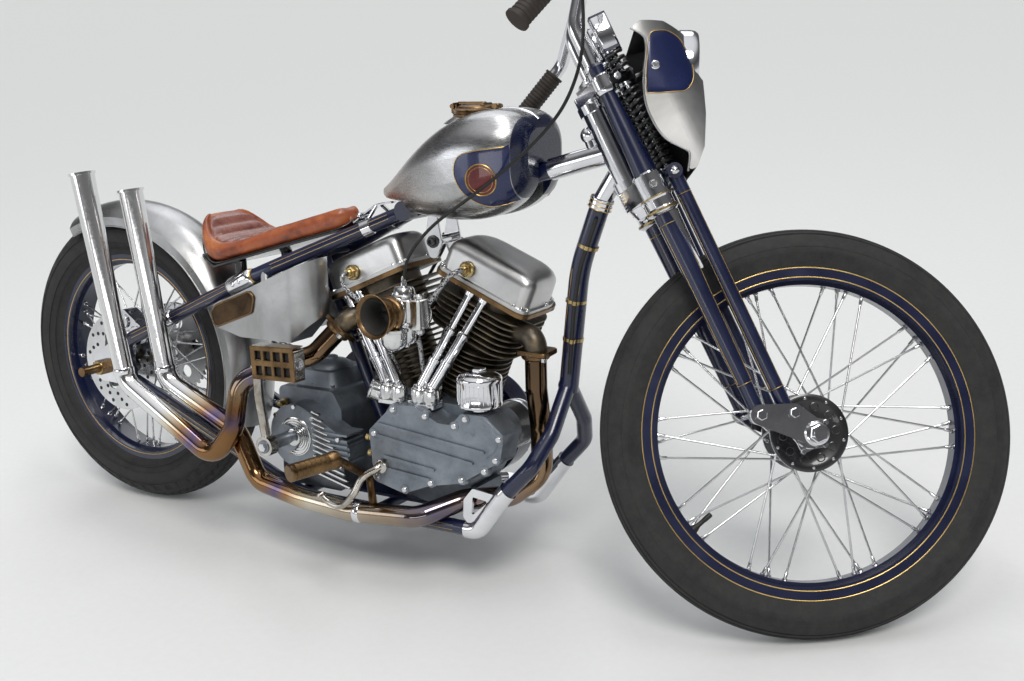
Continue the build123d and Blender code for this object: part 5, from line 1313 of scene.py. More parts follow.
def seat_half_width(x):
    """Half the seat's width at a place along it, a little inside the solid's plan."""
    x = max(x, REAR_X)
    if x > NOSE_X:
        return math.sqrt(max(NOSE_RADIUS ** 2 - (x - NOSE_X) ** 2, 0.5))
    if x < TAIL_X:
        return 13 + math.sqrt(max(TAIL_RADIUS ** 2 - (TAIL_X - x) ** 2, 0.5))
    share = (x - TAIL_X) / (NOSE_X - TAIL_X)
    return 116.5 + (NOSE_RADIUS - 116.5) * share


def seat_rows(rows=96):
    """Evenly spaced stations (place, run from the nose) along the seat, and the whole run."""
    path = smooth_path(SEAT_LINE, 12)
    lengths = [0]
    for a, b in zip(path, path[1:]):
        lengths.append(lengths[-1] + math.hypot(b.x - a.x, b.z - a.z))
    stations = []
    for row in range(rows + 1):
        want = lengths[-1] * row / rows
        index = max(k for k in range(len(lengths) - 1) if lengths[k] <= want + 1e-9)
        share = (want - lengths[index]) / max(lengths[index + 1] - lengths[index], 1e-9)
        stations.append((path[index].lerp(path[index + 1], share), want))
    return stations, lengths[-1]


def seat_section(station, run, total):
    """The hide's half width, middle height, half height and easing at a station."""
    x, low, top = station
    ease = eased(min(run / NOSE_END, (total - run) / TAIL_END, 1))
    wide = seat_half_width(x) * (0.72 + 0.28 * ease)
    return wide, (low + top) / 2, (top - low) / 2 * (0.3 + 0.7 * ease), ease


def seat_pad():
    """The hide's broad border over the whole pan, sunk along the seam of the tucked panel."""
    stations, total = seat_rows()
    count = 72
    rings = []
    for station, run in stations:
        wide, middle, half_up, ease = seat_section(station, run, total)
        ring = []
        for c, s in circle(1, count):
            across = math.copysign(abs(c) ** ACROSS_POWER, c) * wide
            up = math.copysign(abs(s) ** UP_POWER, s) * half_up
            if s > 0:
                edge = abs(across) / max(wide, 1)
                up += -3.2 * max(0, edge - 0.8) / 0.2 * ease + CROWN * math.cos(edge * math.pi / 2) * ease
                seam = abs(across) - (wide - 24)
                if 14 < run < total - 10:
                    up -= 3 * math.exp(-(seam / 2.4) ** 2) * ease
                    up += 2.6 * math.exp(-((seam - 11) / 8) ** 2) * ease
            else:
                pull = 1.2 * math.exp(-((up + half_up) / 5) ** 2)
                across -= math.copysign(pull, across)
            ring.append(Vector((station.x, across, middle + up)))
        rings.append(ring)
    made = Piece(BIKE)
    made.rings(rings, True, True, True)
    pad = made.make("seat_hide", TAN, "frame", "tan_leather", 70)
    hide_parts("seat")
    return stations, total


def seat_top(across, low, top, wide):
    """Height of the hide's top at a place across, matching the pad's crown."""
    share = min(abs(across) / wide, 1)
    s = math.sqrt(max(1 - (share ** (1 / ACROSS_POWER)) ** 2, 0))
    return (low + top) / 2 + s ** UP_POWER * (top - low) / 2 + CROWN * math.cos(share * math.pi / 2)


def seat_middle(stations, total):
    """The darker tucked panel: rolls that run across the seat, each pulled down at its seam."""
    count = 40
    first, last, tuck = 34, 20, 25
    rows = []
    for station, run in stations:
        if run < first or run > total - last:
            continue
        x, low, top = station
        wide = seat_half_width(x)
        half = min(wide - 22, 96)
        if half < 8:
            continue
        ease = eased(min((run - first) / 22, (total - last - run) / 16, 1))
        half *= 0.35 + 0.65 * ease
        phase = ((run - first) % tuck) / tuck
        roll = math.sqrt(max(1 - (2 * phase - 1) ** 2, 0)) if run > 150 else 0.72
        upper, lower = [], []
        for step in range(count + 1):
            v = 2 * step / count - 1
            across = v * half
            base = seat_top(across, low, top, wide)
            crown = (1 - abs(v) ** 7) ** 0.5
            lift = crown * (1.4 + 6 * roll * ease) - 2.6
            upper.append(Vector((x, across, base + lift)))
            lower.append(Vector((x, across, base - 6)))
        rows.append(upper + lower[::-1])
    made = Piece(BIKE)
    made.rings(rows, True, True, True)
    pad = made.make("seat_tucks", PLUM, "frame", "tan_leather", 70)


def seat_seams(stations, total):
    """A welt round the edge of the pan and a thread line beside the tucked panel."""
    welt = Piece(BIKE)
    thread = Piece(BIKE)
    sides = []
    for side in (-1, 1):
        path = []
        for station, run in stations:
            wide, middle, half_up, _ = seat_section(station, run, total)
            path.append(Vector((station.x, side * (wide - 0.6), middle - half_up * 0.93)))
        sides.append(path)
        for station, run in stations:
            x, low, top = station
            wide = seat_half_width(x)
            if 40 <= run <= total - 26 and wide >= 34:
                across = side * (wide - 20)
                level = seat_top(across, low, top, wide) - 0.6
                thread.tube([(x - 1.6, across, level - 0.2), (x, across, level + 0.5),
                             (x + 1.6, across, level - 0.2)],
                            0.55, 5)
    loop = sides[0] + sides[1][::-1]
    welt.tube(loop + [loop[0]], 1.7, 8, False)
    welt.make("seat_edge_welt", BLACK, "frame", "black_paint", 60)
    thread.make("seat_thread", THREAD, "frame", "tan_leather", 60)


def seat_hinge():
    """A bright strap hinge at the nose, and clips round the two tubes below it."""
    made = Piece(BIKE)
    rows = []
    for point in smooth_path([(598, 0, 653), (622, 0, 660), (646, 0, 676), (676, 0, 694), (712, 0, 701)], 6):
        half = 13 - 5 * abs(point.x - 640) / 80
        rows.append([point + Vector((0, y, z)) for y, z in ((-half, -2), (half, -2), (half, 1),
                                                            (half - 1.5, 2.2),
                                                             (1.5 - half, 2.2), (-half, 1))])
    made.rings(rows, True, True, True)
    made.tube([(640, -17, 673), (640, 17, 673)], 5.6, 18)
    for side in (-1, 1):
        made.bolt(aimed((640, side * 17, 673), (0, side, 0)), 5.4, 5, "dome")
        cluster, knee = on_side(CLUSTER, side), on_side(STAY_KNEE, side)
        spot = cluster.lerp(knee, 0.25)
        made.lathe([(14.2, -11), (16.4, -9.5), (16.4, 9.5), (14.2, 11)],
                   aimed(spot, knee - cluster, (0, side, 0)), 32)
        made.tube([spot + Vector((0, 0, 13)), Vector((676, side * 10, 692))], 4, 12)
    made.make("seat_hinge", CHROME, "frame", "chrome", 50)


STATIONS, SEAT_RUN = seat_pad()
seat_hinge()
seat_middle(STATIONS, SEAT_RUN)
seat_seams(STATIONS, SEAT_RUN)


# Fuel tank: shaped shell, blue side panels with a plain roundel, ridge strap and filler

# The panel's outline and the roundel's middle, as pixels of the picture
PANEL_PIXELS = [(548, 176), (535, 190), (516, 201), (489, 206), (467, 196), (456, 181), (454, 167),
                (459, 156), (474, 151), (504, 147), (530, 142)]
ROUNDEL_PIXEL = (480, 180)
ROUNDEL_RADIUS = 27
TANK_SIDE = 200
# The panel's gold line stays open where the panel meets the tank's blue end
PANEL_FRONT = 1027
FILLER_X = 906


def tank_panels():
    """The blue panels with their gold lines, and the red roundel on each."""
    seen = seen_on("fuel_tank", PANEL_PIXELS)
    outline = [(p.x, p.z) for p in smooth_path([Vector((s.x, 0, s.z)) for s in seen], 5) if p.x < PANEL_FRONT]
    outline += [(1028, outline[-1][1] + 4), (1029.5, 812), (1028, outline[0][1] + 8)]
    outline = evened(outline)
    badge = seen_on("fuel_tank", [ROUNDEL_PIXEL])[0]
    centre = (badge.x, badge.z)
    roundel_edge = circle(ROUNDEL_RADIUS, 48, centre)
    inner_edge = [(centre[0] + (x - centre[0]) * 0.8, centre[1] + (z - centre[1]) * 0.8) for x,
                  z in roundel_edge]
    for side, word in ((1, "left"), (-1, "right")):
        rows = patch("fuel_tank", outline, side, TANK_SIDE, 0.8, 14)
        panel = Piece(BIKE)
        panel.rings(facing_out(rows, side), True, True, False)
        panel.make(f"tank_panel_{word}", BLUE_PANEL, "frame", "dark_blue_paint", 60)
        line = Piece(BIKE)
        edge = facing_out(rows, side)[-1]
        line.tube([p + Vector((0, side * 0.3, 0)) for p in edge if p.x < PANEL_FRONT], 1, 6)
        disc = patch("fuel_tank", roundel_edge, side, TANK_SIDE, 1.6, 6)
        ring = [p + Vector((0, side * 0.4, 0)) for p in disc[-1]]
        line.tube(ring + [ring[0]], 1.3, 6, False)
        thin = [onto("fuel_tank", (x, side * TANK_SIDE, z), (0, -side, 0), 1.9) for x, z in inner_edge]
        line.tube(thin + [thin[0]], 0.6, 6, False)
        line.make(f"tank_lines_{word}", GOLD, "frame", "bronze", 60)
        roundel = Piece(BIKE)
        roundel.rings(facing_out(disc, side), True, True, False)
        roundel.make(f"tank_roundel_{word}", RED_PANEL, "frame", "dark_blue_paint", 60)


def tank_strap():
    """A bright strap along the tank's ridge, left out round the filler."""
    strap = Piece(BIKE)
    runs = [[]]
    for x in range(726, 1044, 6):
        row = []
        for across in (-5, -4, -2, 0, 2, 4, 5):
            lift = 0.2 if abs(across) > 4.5 else 2.4 - abs(across) * 0.25
            row.append(onto("fuel_tank", (x, across, 960), (0, 0, -1), lift))
        if None not in row and abs(x - FILLER_X) > 40:
            runs[-1].append(row)
        else:
            runs.append([])
    for rows in runs:
        if len(rows) > 2:
            strap.rings(rows, False)
    strap.make("tank_ridge_strap", CHROME, "frame", "chrome", 50)


def tank_filler():
    """The filler's neck, its ring with two ears, and the flip cap with ribs, bar and loop."""
    local = Matrix.Translation((FILLER_X, 0, 0))
    neck = Piece(BIKE)
    neck.lathe([(60, 852), (52, 858), (45.5, 862), (42, 864.5), (33, 865)], local, 48)
    neck.make("filler_neck", STEEL, "frame", "bare_metal")
    ring = Piece(BIKE)
    ring.lathe([(41.5, 863), (42.6, 864.6), (42.6, 867.4), (40.2, 869), (39.4, 873), (41.2, 875),
                (41.2, 877.6), (39.4, 878.6), (36.6, 878.6), (36.4, 870)], local, 56)
    for side in (-1, 1):
        near, far = FILLER_X + side * 36, FILLER_X + side * 52
        ring.prism(rounded([(near, -9), (far, -6), (far, 6), (near, 9)], 4), 868, 887, None, 2.4)
        ring.tube([(FILLER_X + side * 46, -11, 882), (FILLER_X + side * 46, 11, 882)], 4.4, 16)
    ring.make("filler_ring", BRONZE, "frame", "bronze")
    cap = Piece(BIKE)
    cap.lathe([(34.8, 874.4), (35.4, 876), (35.4, 879.5), (33.6, 882), (27, 884.2), (15, 885.6),
               (0.01, 886)], local, 56)
    for x, y in circle(35.3, 36, (FILLER_X, 0)):
        cap.tube([(x, y, 875.6), (x, y, 879.4)], 1.1, 6)
    cap.prism(box_outline(60, 13, 6, (898, 0)), 884.4, 890, None, 1.6)
    cap.tube(smooth_path([(870, -6, 887), (862, -5, 886), (858, 0, 886), (862, 5, 886), (870, 6, 887)], 4),
             2.2, 8)
    cap.tube([(928, -15, 884.5), (928, 15, 884.5)], 4, 16)
    flip = cap.make("flip_filler_cap", BRONZE, "frame", "bronze")
    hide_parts("fuel_cap")


def tank_tabs():
    """The tank's two rear tabs with their bolts."""
    tabs = Piece(BIKE)
    for side in (-1, 1):
        tabs.prism(rounded([(730, 694), (776, 700), (784, 716), (730, 716)], 5), side * 10 - 2.2,
                   side * 10 + 2.2, aimed(ORIGIN, (0, -1, 0)), 0.8)
        tabs.bolt(aimed((745, side * 12.4, 706), (0, side, 0)), 6.5, 6, "dome")
    tabs.make("tank_rear_tabs", CHROME, "frame", "chrome")


tank_panels()
tank_strap()
tank_filler()
tank_tabs()


# Engine top: pan covers, spark plugs, oil lines and pushrod tubes


def pan_outline(width, height, inset=0):
    """A rocker cover's outline, rounder at its upper corners."""
    x, y = width / 2 - inset, height / 2 - inset
    return rounded([(-x, -y), (x, -y), (x, y), (-x, y)], [24, 24, 52, 52], 8)


def pan_ring(place, level, width, height, inset=0):
    """A rocker cover's outline at a level above its head."""
    return [place @ Vector((x, y, level)) for x, y in pan_outline(width, height, inset)]


def rocker_pans():
    """Each head's cover with its seam, flange and screws."""
    levels = [(0, 0.4), (0, 7), (4.2, 8.2), (4.6, 12), (5.6, 44), (7.6, 52), (11.6, 58.5),
              (17.5, 62.8), (25, 65), (38, 66), (52, 66.3)]
    for side, word in ((1, "front"), (-1, "rear")):
        place = bank(side, PAN_LEVEL)
        made = Piece(BIKE)
        rings = []
        for inset, level in levels:
            width, height = (204, 138) if level < 8 else (202, 136)
            rings.append(pan_ring(place, level, width, height, inset))
        made.rings(rings, True, True, True)
        pan = made.make(f"pan_cover_{word}", COVER, "frame", "polished_alloy", 50)
        if side > 0:
            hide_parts("rocker_covers")
        screws = Piece(BIKE)
        outline = pan_outline(204, 138, 3.4)
        for k in range(12):
            x, y = outline[int(len(outline) * k / 12)]
            screws.bolt(place @ Matrix.Translation((x, y, 7)), 3.6, 5, "dome")
        screws.make(f"pan_screws_{word}", STAINLESS, "frame", "chrome")
        flange = Piece(BIKE)
        for level, thickness in ((-8.4, 7.4), (-0.6, 1)):
            flange.rings([pan_ring(place, level + up, 207, 141, inset)
                          for up, inset in ((0, 8), (0, 0), (thickness, 0), (thickness, 8))],
                         True, join_ends=True)
        flange.make(f"head_flange_{word}", BRONZE, "frame", "bronze", 50)


def oil_lines():
    """Brass unions and braided oil lines from each cover down to the case."""
    brass = Piece(BIKE)
    for side, x, bends, route in (
            (1, -38, ((-6, -15, -3), (-24, -22, -20)), ((846, -118, 500), (838, -104, 440), (834, -92, 396))),
            (-1, -24, ((1, -15, -4), (12, -20, -26)), ((742, -112, 500), (764, -98, 430), (778, -90, 388)))):
        place = bank(side, PAN_LEVEL) @ aimed((x, -66.6, 26), (0, -1, 0.08))
        brass.lathe([(15, -2), (15, 2), (13.5, 3)], place, 24)
        brass.prism(hexagon(12), 2.5, 9, place, 1.2)
        brass.lathe([(7.5, 9), (7.5, 14), (6, 15.5), (6, 18)], place, 20)
        start = place @ Vector((0, 0, 15))
        made = Piece(BIKE)
        made.tube(smooth_path([start, *(start + Vector(bend) for bend in bends), *route], 10), 4.5, 14)
        made.make(f"braided_oil_line_{1 if side > 0 else 2}", BRAID, "frame", "bare_metal", 60)
    brass.make("oil_unions", BRASS, "frame", "bronze")


def pushrods():
    """Four telescoping covers, and the tappet blocks with their bolts."""
    made = Piece(BIKE)
    blocks = Piece(BIKE)
    bolts = Piece(BIKE)
    for side in (1, -1):
        block_x, block_y = CRANK.x + side * 36, -115
        blocks.prism(box_outline(58, 36, 9, (block_x, block_y)), 340, 348.5, None, 1.2)
        for step in (-1, 1):
            start = Vector((block_x + 13 * step, block_y, 372))
            end = bank(side, 331) @ Vector((side * 22 - 25 + step * 16, -56, 0))
            n = (end - start).length
            made.lathe([(13.5, 0), (13.5, 5), (12, 8), (10.4, 9), (10.4, n * 0.27), (12.2, n * 0.275),
                        (12.2, n * 0.31), (9.6, n * 0.315), (9.6, n * 0.55), (11.6, n * 0.555),
                        (11.6, n * 0.6), (10.6, n * 0.605), (8.2, n * 0.615), (8.2, n - 16), (9.8, n - 15),
                        (10.4, n - 8),
                        (8.5, n - 6), (8.5, n)], aimed(start, end - start), 24)
            blocks.lathe([(16, 348), (16, 372), (14.5, 376), (11, 378.5)],
                         Matrix.Translation((start.x, block_y, 0)), 28)
        for x in (-25, 25):
            for y in (-129, -101):
                bolts.bolt(aimed((block_x + x, y, 348.4), UP), 4.2, 5.5)
    tubes = made.make("pushrod_covers", CHROME, "frame", "chrome")
    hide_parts("pushrod_tubes")
    blocks.make("tappet_blocks", POLISHED, "frame", "polished_alloy")
    bolts.make("tappet_bolts", STAINLESS, "frame", "chrome")


def plugs():
    """Spark plugs with black leads on the left of both heads."""
    made = Piece(BIKE)
    leads = []
    for side in (1, -1):
        spot = bank(side, 262) @ Vector((side * 10, 72, 0))
        direction = (bank(side, 0).to_3x3() @ Vector((side * 0.15, 0.85, 0.5))).normalized()
        local = aimed(spot - direction * 14, direction)
        made.lathe([(9, 0), (9, 9)], local, 18)
        made.prism(hexagon(9.5), 9, 19, local, 1)
        made.lathe([(6, 19), (5.4, 36), (3, 37), (3, 42)], local, 16)
        start = local @ Vector((0, 0, 34))
        leads.append(smooth_path([start, start + direction * 18, start + direction * 34 + Vector((0, 0, 10)),
                                  (CRANK.x + side * 34, 64, 612), (CRANK.x + side * 12, 32, 640)], 8))
    made.make("spark_plugs", STAINLESS, "frame", "chrome")
    for number, path in enumerate(leads):
        lead = Piece(BIKE)
        lead.tube(path, [5.6 if k < 14 else 3.6 for k in range(len(path))], 10)
        lead.make(f"plug_lead_{number + 1}", HOSE, "frame", "black_paint", 60)


rocker_pans()
oil_lines()
pushrods()
plugs()


# Engine lower half: carburettor, cam cover screws, generator, oil filter, exhausts, gearbox and controls


def carburettor_body():
    """The carburettor with its bowl, manifold and flanges."""
    body = Piece(BIKE)
    bolts = Piece(BIKE)
    up = aimed(CARBURETTOR, UP)
    body.lathe([(0.01, -58), (8, -58), (8, -52), (20, -50), (24.5, -44), (25.5, -34),
                (25.5, -16), (28, -15), (28, -9), (24.5, -8)], up, 40)
    body.prism(box_outline(60, 52, 12), -10, 34, up, 3)
    body.prism(box_outline(70, 48, 16), 10, 14, up, 1.2)
    body.prism(box_outline(66, 40, 12), -4, 1, up, 1)
    front = aimed(CARBURETTOR + Vector((36, -4, 12)), UP)
    body.prism(box_outline(24, 36, 7), -34, 22, front, 2)
    body.lathe([(7, 20), (10, 21), (10, 28), (6, 31), (0.01, 31.2)], front, 24)
    body.lathe([(0.01, -44), (5, -44), (8, -41), (8, -33)], front, 24)
    bowl = aimed(CARBURETTOR + Vector((-6, -26, -26)), UP)
    body.lathe([(0.01, -36), (9, -35.5), (18, -31), (23.5, -22), (25, -8), (25, 0), (27.5, 1),
                (27.5, 6), (24, 7), (14, 9)], bowl, 40)
    body.lathe([(23, 33), (23, 39), (20.5, 41), (19, 49), (16, 53), (9, 55), (0.01, 55.2)],
               up, 36)
    for angles, radius, level, heading, size, height in (((0.8, 2.2, 3.9, 5.4), 19, 38.5, 1, 3.2, 4),
                                                         ((0.7, 2.4, 3.8, 5.5), 25, -9, -1, 3, 8)):
        for angle in angles:
            spot = CARBURETTOR + Vector((*polar(radius, angle), level))
            bolts.bolt(aimed(spot, (0, 0, heading)), size, height, "screw")
    body.tube([CARBURETTOR + Vector((0, 18, 0)), (822, -62, 512), (822, -36, 512)], [19, 19, 18.9], 28)
    body.lathe([(19, 0), (30, 0), (31, 1), (31, 6), (30, 7), (19, 7)],
               aimed((822, -88, 512), (0, 1, 0)), 32)
    for side in (-1, 1):
        bolts.bolt(aimed((822 + side * 25, -88.5, 512), (0, -1, 0)), 4.6, 6)
    return body, bolts


def carburettor_parts():
    """The carburettor's bell mouth and last fittings, made together with its body."""
    body, bolts = carburettor_body()
    base = aimed(CARBURETTOR + Vector((-8, -20, 8)), (-0.08, -1, 0.03), UP)
    for angle in turns(4, 45):
        bolts.bolt(base @ aimed((*polar(26, angle), 11), UP), 3, 4, "screw")
    body.lathe([(20, 0), (31, 2), (31, 8), (29.5, 10.5), (22, 11)], base, 40)
    mouth = Piece(BIKE)
    mouth.lathe([(30, 9), (30.5, 10), (30.5, 15), (28, 16.5), (26.5, 20), (26.5, 24), (29, 25.5),
                 (29, 29), (25.5, 31), (24.5, 35), (26, 42), (30, 48), (35.5, 52), (37.6, 53.4),
                 (37.9, 54.6), (36.5, 54.9), (33, 52.5), (27.5, 47), (22.8, 38), (21, 26), (20.5, 6)],
                base @ Matrix.Scale(1.08, 4), 56, True)
    mouth.tube([base @ Vector((0, -20.5, 10)), base @ Vector((0, 20.5, 10))], 2.4, 10)
    mouth.make("bell_mouth", BRONZE, "frame", "bronze", 40)
    arm = CARBURETTOR + Vector((26, -6, 20))
    body.tube([arm, arm + Vector((8, 0, 0))], 6.5, 16)
    body.prism(rounded([(-6, -4), (18, -4), (26, 18), (18, 24), (-4, 8)], 4), 0, 3,
               aimed(arm + Vector((9, 0, 0)), FORWARD, (0, 1, 0)), 0.6)
    pipe = [CARBURETTOR + Vector(way) for way in ((-26, 8, -2), (-36, 2, -8), (-38, -6, -24))]
    body.tube(smooth_path(pipe, 6), 4, 12)
    shape = body.make("carburettor_body", POLISHED, "frame", "polished_alloy")
    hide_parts("carburettor")
    bolts.make("carburettor_screws", STAINLESS, "frame", "chrome")
    # A near-black funnel inside the bell mouth: painted shade in its throat
    throat = Piece(BIKE)
    throat.lathe([(33, 55.4), (29.2, 51), (24, 41), (22, 28), (21.6, 5), (0.01, 5)], base, 48,
                 caps=False)
    throat.make("bell_throat_shade", DARK, "frame", "black_paint")


CAM_SCREWS = [(754, 284), (800, 336), (872, 332), (936, 322), (960, 338), (1030, 310), (1022, 270),
              (948, 222), (880, 206), (820, 184), (756, 200), (998, 246)]
CAM_FACE = -146
GENERATOR = (962, 290)
CANISTER = (976, -121)


def cam_trim():
    """Screws on raised bosses, and the ridge round the cam cover's front end."""
    screws = Piece(BIKE)
    bosses = Piece(BIKE)
    for x, z in CAM_SCREWS:
        if onto("cam_cover", (x, -240, z), (0, 1, 0)) is None:
            continue
        spot = Vector((x, CAM_FACE, z))
        bosses.lathe([(11, -8), (9.8, -1), (8.8, 1.2), (6.8, 1.8)], aimed(spot, (0, -1, 0)), 26)
        screws.bolt(aimed(spot + Vector((0, -1.2, 0)), (0, -1, 0)), 5.6, 3.2, "screw")
    bosses.make("cam_cover_bosses", CAST, "frame", "cast_alloy")
    screws.make("cam_cover_screws", STAINLESS, "frame", "chrome")
    rim = Piece(BIKE)
    path = []
    for k in range(33):
        angle = math.radians(-66 + 150 * k / 32)
        path.append((986 + 40 * math.cos(angle), -145.6, 306 + 38 * math.sin(angle)))
    rim.tube(path, 1.6, 8)
    rim.make("cam_cover_ridge", CAST, "frame", "cast_alloy", 60)


def generator_trim():
    """The generator's bright bands and end bolts."""
    trim = Piece(BIKE)
    axis = aimed((GENERATOR[0], 0, GENERATOR[1]), (0, 1, 0))
    trim.lathe([(44.6, 14), (45.4, 16), (45.4, 28), (44.6, 30)], axis, 56)
    trim.lathe([(44, 30.5), (44.4, 33.5), (38, 36.5), (20, 37), (8, 39.5), (0.01, 39.5)], axis, 48)
    trim.make("generator_bands", STAINLESS, "frame", "chrome")
    bolts = Piece(BIKE)
    for angle in turns(3, 90):
        x, z = polar(32, angle, GENERATOR)
        bolts.bolt(aimed((x, 36, z), (0, 1, 0)), 4.6, 5)
    bolts.make("generator_bolts", STAINLESS, "frame", "chrome")


def oil_canister():
    """The ribbed oil filter with its stepped lid and nut."""
    made = Piece(BIKE)
    place = aimed((*CANISTER, 351), UP)
    made.lathe([(17, 0.5), (17, 7), (36, 8), (40.4, 10), (40.8, 14), (40, 15.5), (40, 54),
                (41, 56), (41, 60), (39.5, 63), (33, 67.5), (22, 71), (14.5, 72)], place, 64)
    made.prism(hexagon(13.5), 71, 77, place, 1.6)
    for x, y in circle(40.2, 30, CANISTER):
        made.tube([(x, y, 369), (x, y, 403)], 0.8, 5)
    canister = made.make("oil_canister", CHROME, "frame", "chrome")
    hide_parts("oil_filter")


def case_fittings():
    """The case's two unions, its breather can with a pipe, and the timing cap."""
    unions = Piece(BIKE)
    for x, z in ((740, 262), (744, 232)):
        local = aimed((x, -120, z), (-1, 0, 0.15))
        unions.prism(hexagon(8.5), -2, 9, local, 0.9)
        unions.lathe([(5.5, 9), (5.5, 16), (7, 17), (7, 24), (5, 26), (0.01, 26)], local, 18)
    unions.make("case_unions", BRASS, "frame", "bronze")
    breather = Piece(BIKE)
    breather.lathe([(0.01, -2), (20, -2), (20, 26), (21.5, 28), (21.5, 31), (19.5, 31.5), (17.5, 29),
                    (0.01, 27.5)], aimed((752, -104, 352), (-0.75, -0.5, 0.35)), 40)
    breather.tube([(758, -100, 344), (772, -100, 326), (778, -106, 312)], 6, 14)
    breather.make("breather_can", STAINLESS, "frame", "chrome")
    cap = Piece(BIKE)
    cap.lathe([(19, 0), (19, 16), (24, 18), (24, 24), (21, 27), (0.01, 28)],
              aimed((846, -84, 352), (0, -0.2, 1)), 30)
    cap.make("timing_cap", POLISHED, "frame", "polished_alloy")


def exhaust_clamps():
    """The ports' flanges with their bolts, and a plain clamp on each tail and on the low pipe."""
    made = Piece(BIKE)
    bolts = Piece(BIKE)
    for top, low in ((FRONT_PORT, (1046, -40, 380)), (REAR_PORT, (598, -122, 414))):
        run = (Vector(low) - Vector(top)).normalized()
        local = aimed(Vector(top) - run * 9, run)
        made.prism(rounded([(-30, -26), (34, -26), (34, 26), (-30, 26)], 12), 0, 9, local, 1.6)
        made.lathe([(27, 9), (26, 15), (23, 18), (20.3, 18.5)], local, 36)
        for x, y in ((27, 17), (-23, -17)):
            bolts.bolt(local @ aimed((x, y, 9), UP), 5.5, 8)
    made.make("port_flanges", BRONZE, "frame", "bronze")
    rings = Piece(BIKE)
    for start, end, share in (((226, -156, 330), (164, -156, 722), 0.06),
                              ((154, -201, 329), (77, -201, 757), 0.05),
                              ((700, -164, 127), (850, -152, 136), 0.15)):
        start, end = Vector(start), Vector(end)
        rings.lathe([(20.2, -7), (21.6, -5), (21.6, 5), (20.2, 7)],
                    aimed(start.lerp(end, share), (end - start).normalized()), 36)
    rings.make("pipe_clamps", CHROME, "frame", "chrome")
    bolts.make("port_bolts", STAINLESS, "frame", "chrome")


def gearbox_trim():
    """The kick cover's stepped disc and ribs, and the case's screws, dome and plug."""
    disc = Piece(BIKE)
    profile = [(40, 0), (39, 2), (37, 2.6)]
    for step in range(4):
        radius, level = 36 - 5 * step, 0.6 + 0.35 * step
        profile += [(radius, level), (radius - 0.6, level + 2.6), (radius - 2.4, level + 2.6),
                    (radius - 3, level + 0.1)]
    profile += [(17, 2.5), (17, 9.5), (14, 10.5)]
    disc.lathe(profile, aimed((552, -138, 248), (0, -1, 0)), 72)
    disc.make("kick_cover_disc", POLISHED, "frame", "polished_alloy")
    screws = Piece(BIKE)
    for x, z in ((504, 286), (596, 290), (500, 210), (610, 200), (664, 258), (664, 206), (552, 308),
                 (552, 190)):
        found = onto("gearbox", (x, -230, z), (0, 1, 0))
        if found is not None and -190 < found.y < -120:
            screws.bolt(aimed(found, (0, -1, 0)), 5, 4, "screw")
    for x, y in ((500, -66), (592, -66), (500, 38), (592, 38), (546, -68), (546, 40)):
        screws.bolt(aimed((x, y, 333.5), UP), 5.4, 7)
    screws.make("gearbox_screws", STAINLESS, "frame", "chrome")
    lid = Piece(BIKE)
    top = aimed((548, -12, 362), UP)
    lid.lathe([(44, 0), (40, 8), (30, 14), (14, 17), (0.01, 17.5)], top, 44)
    lid.lathe([(13, 15), (13, 22), (9, 24), (0.01, 24)], top, 24)
    lid.make("gearbox_dome", CAST, "frame", "cast_alloy")
    fins = Piece(BIKE)
    for k in range(12):
        reach = 20 + 6.4 * k
        fins.prism(rounded([(0, -2), (reach, -2), (reach, 2), (0, 2)], 1.2, 2), 0, 8,
                   aimed((600, -138.5, 306 - 11 * k), (0, -1, 0), (1, 0, -0.24)), 1.1)
    fins.make("kick_cover_ribs", POLISHED, "frame", "polished_alloy")
    plug = Piece(BIKE)
    local = aimed((492, -93, 300), (0, -1, 0))
    plug.prism(hexagon(9), 0, 9, local, 1)
    plug.lathe([(5.5, 9), (5.5, 20), (0.01, 21)], local, 18)
    plug.make("gearbox_plug", BRASS, "frame", "bronze")


PEDAL_X, PEDAL_Z = 588, 418


def kick_pedal():
    """A lattice pedal of bronze bars over near-black painted shade in its wells, with its bolts and the
    crank's.
    """
    # Near-black boxes behind the bars: painted shade in the lattice's openings
    wells = Piece(BIKE)
    for row in (-1, 1):
        for k in range(4):
            spot = (PEDAL_X + (k - 1.5) * 23, -231, PEDAL_Z + row * 15)
            wells.prism(box_outline(16.6, 19.6, 3), -14, -5, aimed(spot, (0, -1, 0)), 1.2)
    wells.make("kick_pedal_well_shade", DARK, "frame", "black_paint")
    shell = Piece(BIKE)
    face = aimed((PEDAL_X, -230.1, PEDAL_Z), (0, -1, 0), (math.cos(0.035), 0, math.sin(0.035)))
    for level, height in ((-27.4, 9), (0, 11.6), (27.4, 9)):
        shell.prism(box_outline(106, height, 2.6, (0, level)), -0.6, 3, face, 1.1)
    for k in range(5):
        shell.prism(box_outline(6.6 if 0 < k < 4 else 11, 63, 2.4, ((k - 2) * 23.6, 0)), -0.6, 2.6, face, 1)
    for side in (-1, 1):
        shell.prism(box_outline(105, 29, 3, (0, 15)), -0.7, 0.9,
                    face @ aimed((0, side * 31.6, -30), (0, side, 0)) @ Matrix.Scale(-side, 4,
                                                                                     (0, 1, 0)), 0.5)
    shell.make("kick_pedal_shell", BRONZE, "frame", "bronze")
    bolts = Piece(BIKE)
    for side in (-1, 1):
        bolts.bolt(face @ aimed((side * 52.6, 0, -14), (side, 0, 0)), 9, 6)
    bolts.bolt(aimed((535, -212.2, 244), (0, -1, 0)), 9, 7)
    bolts.bolt(aimed((528, -216.5, 404), (0, -1, 0)), 7, 6, "dome")
    bolts.make("kick_bolts", STAINLESS, "frame", "chrome")


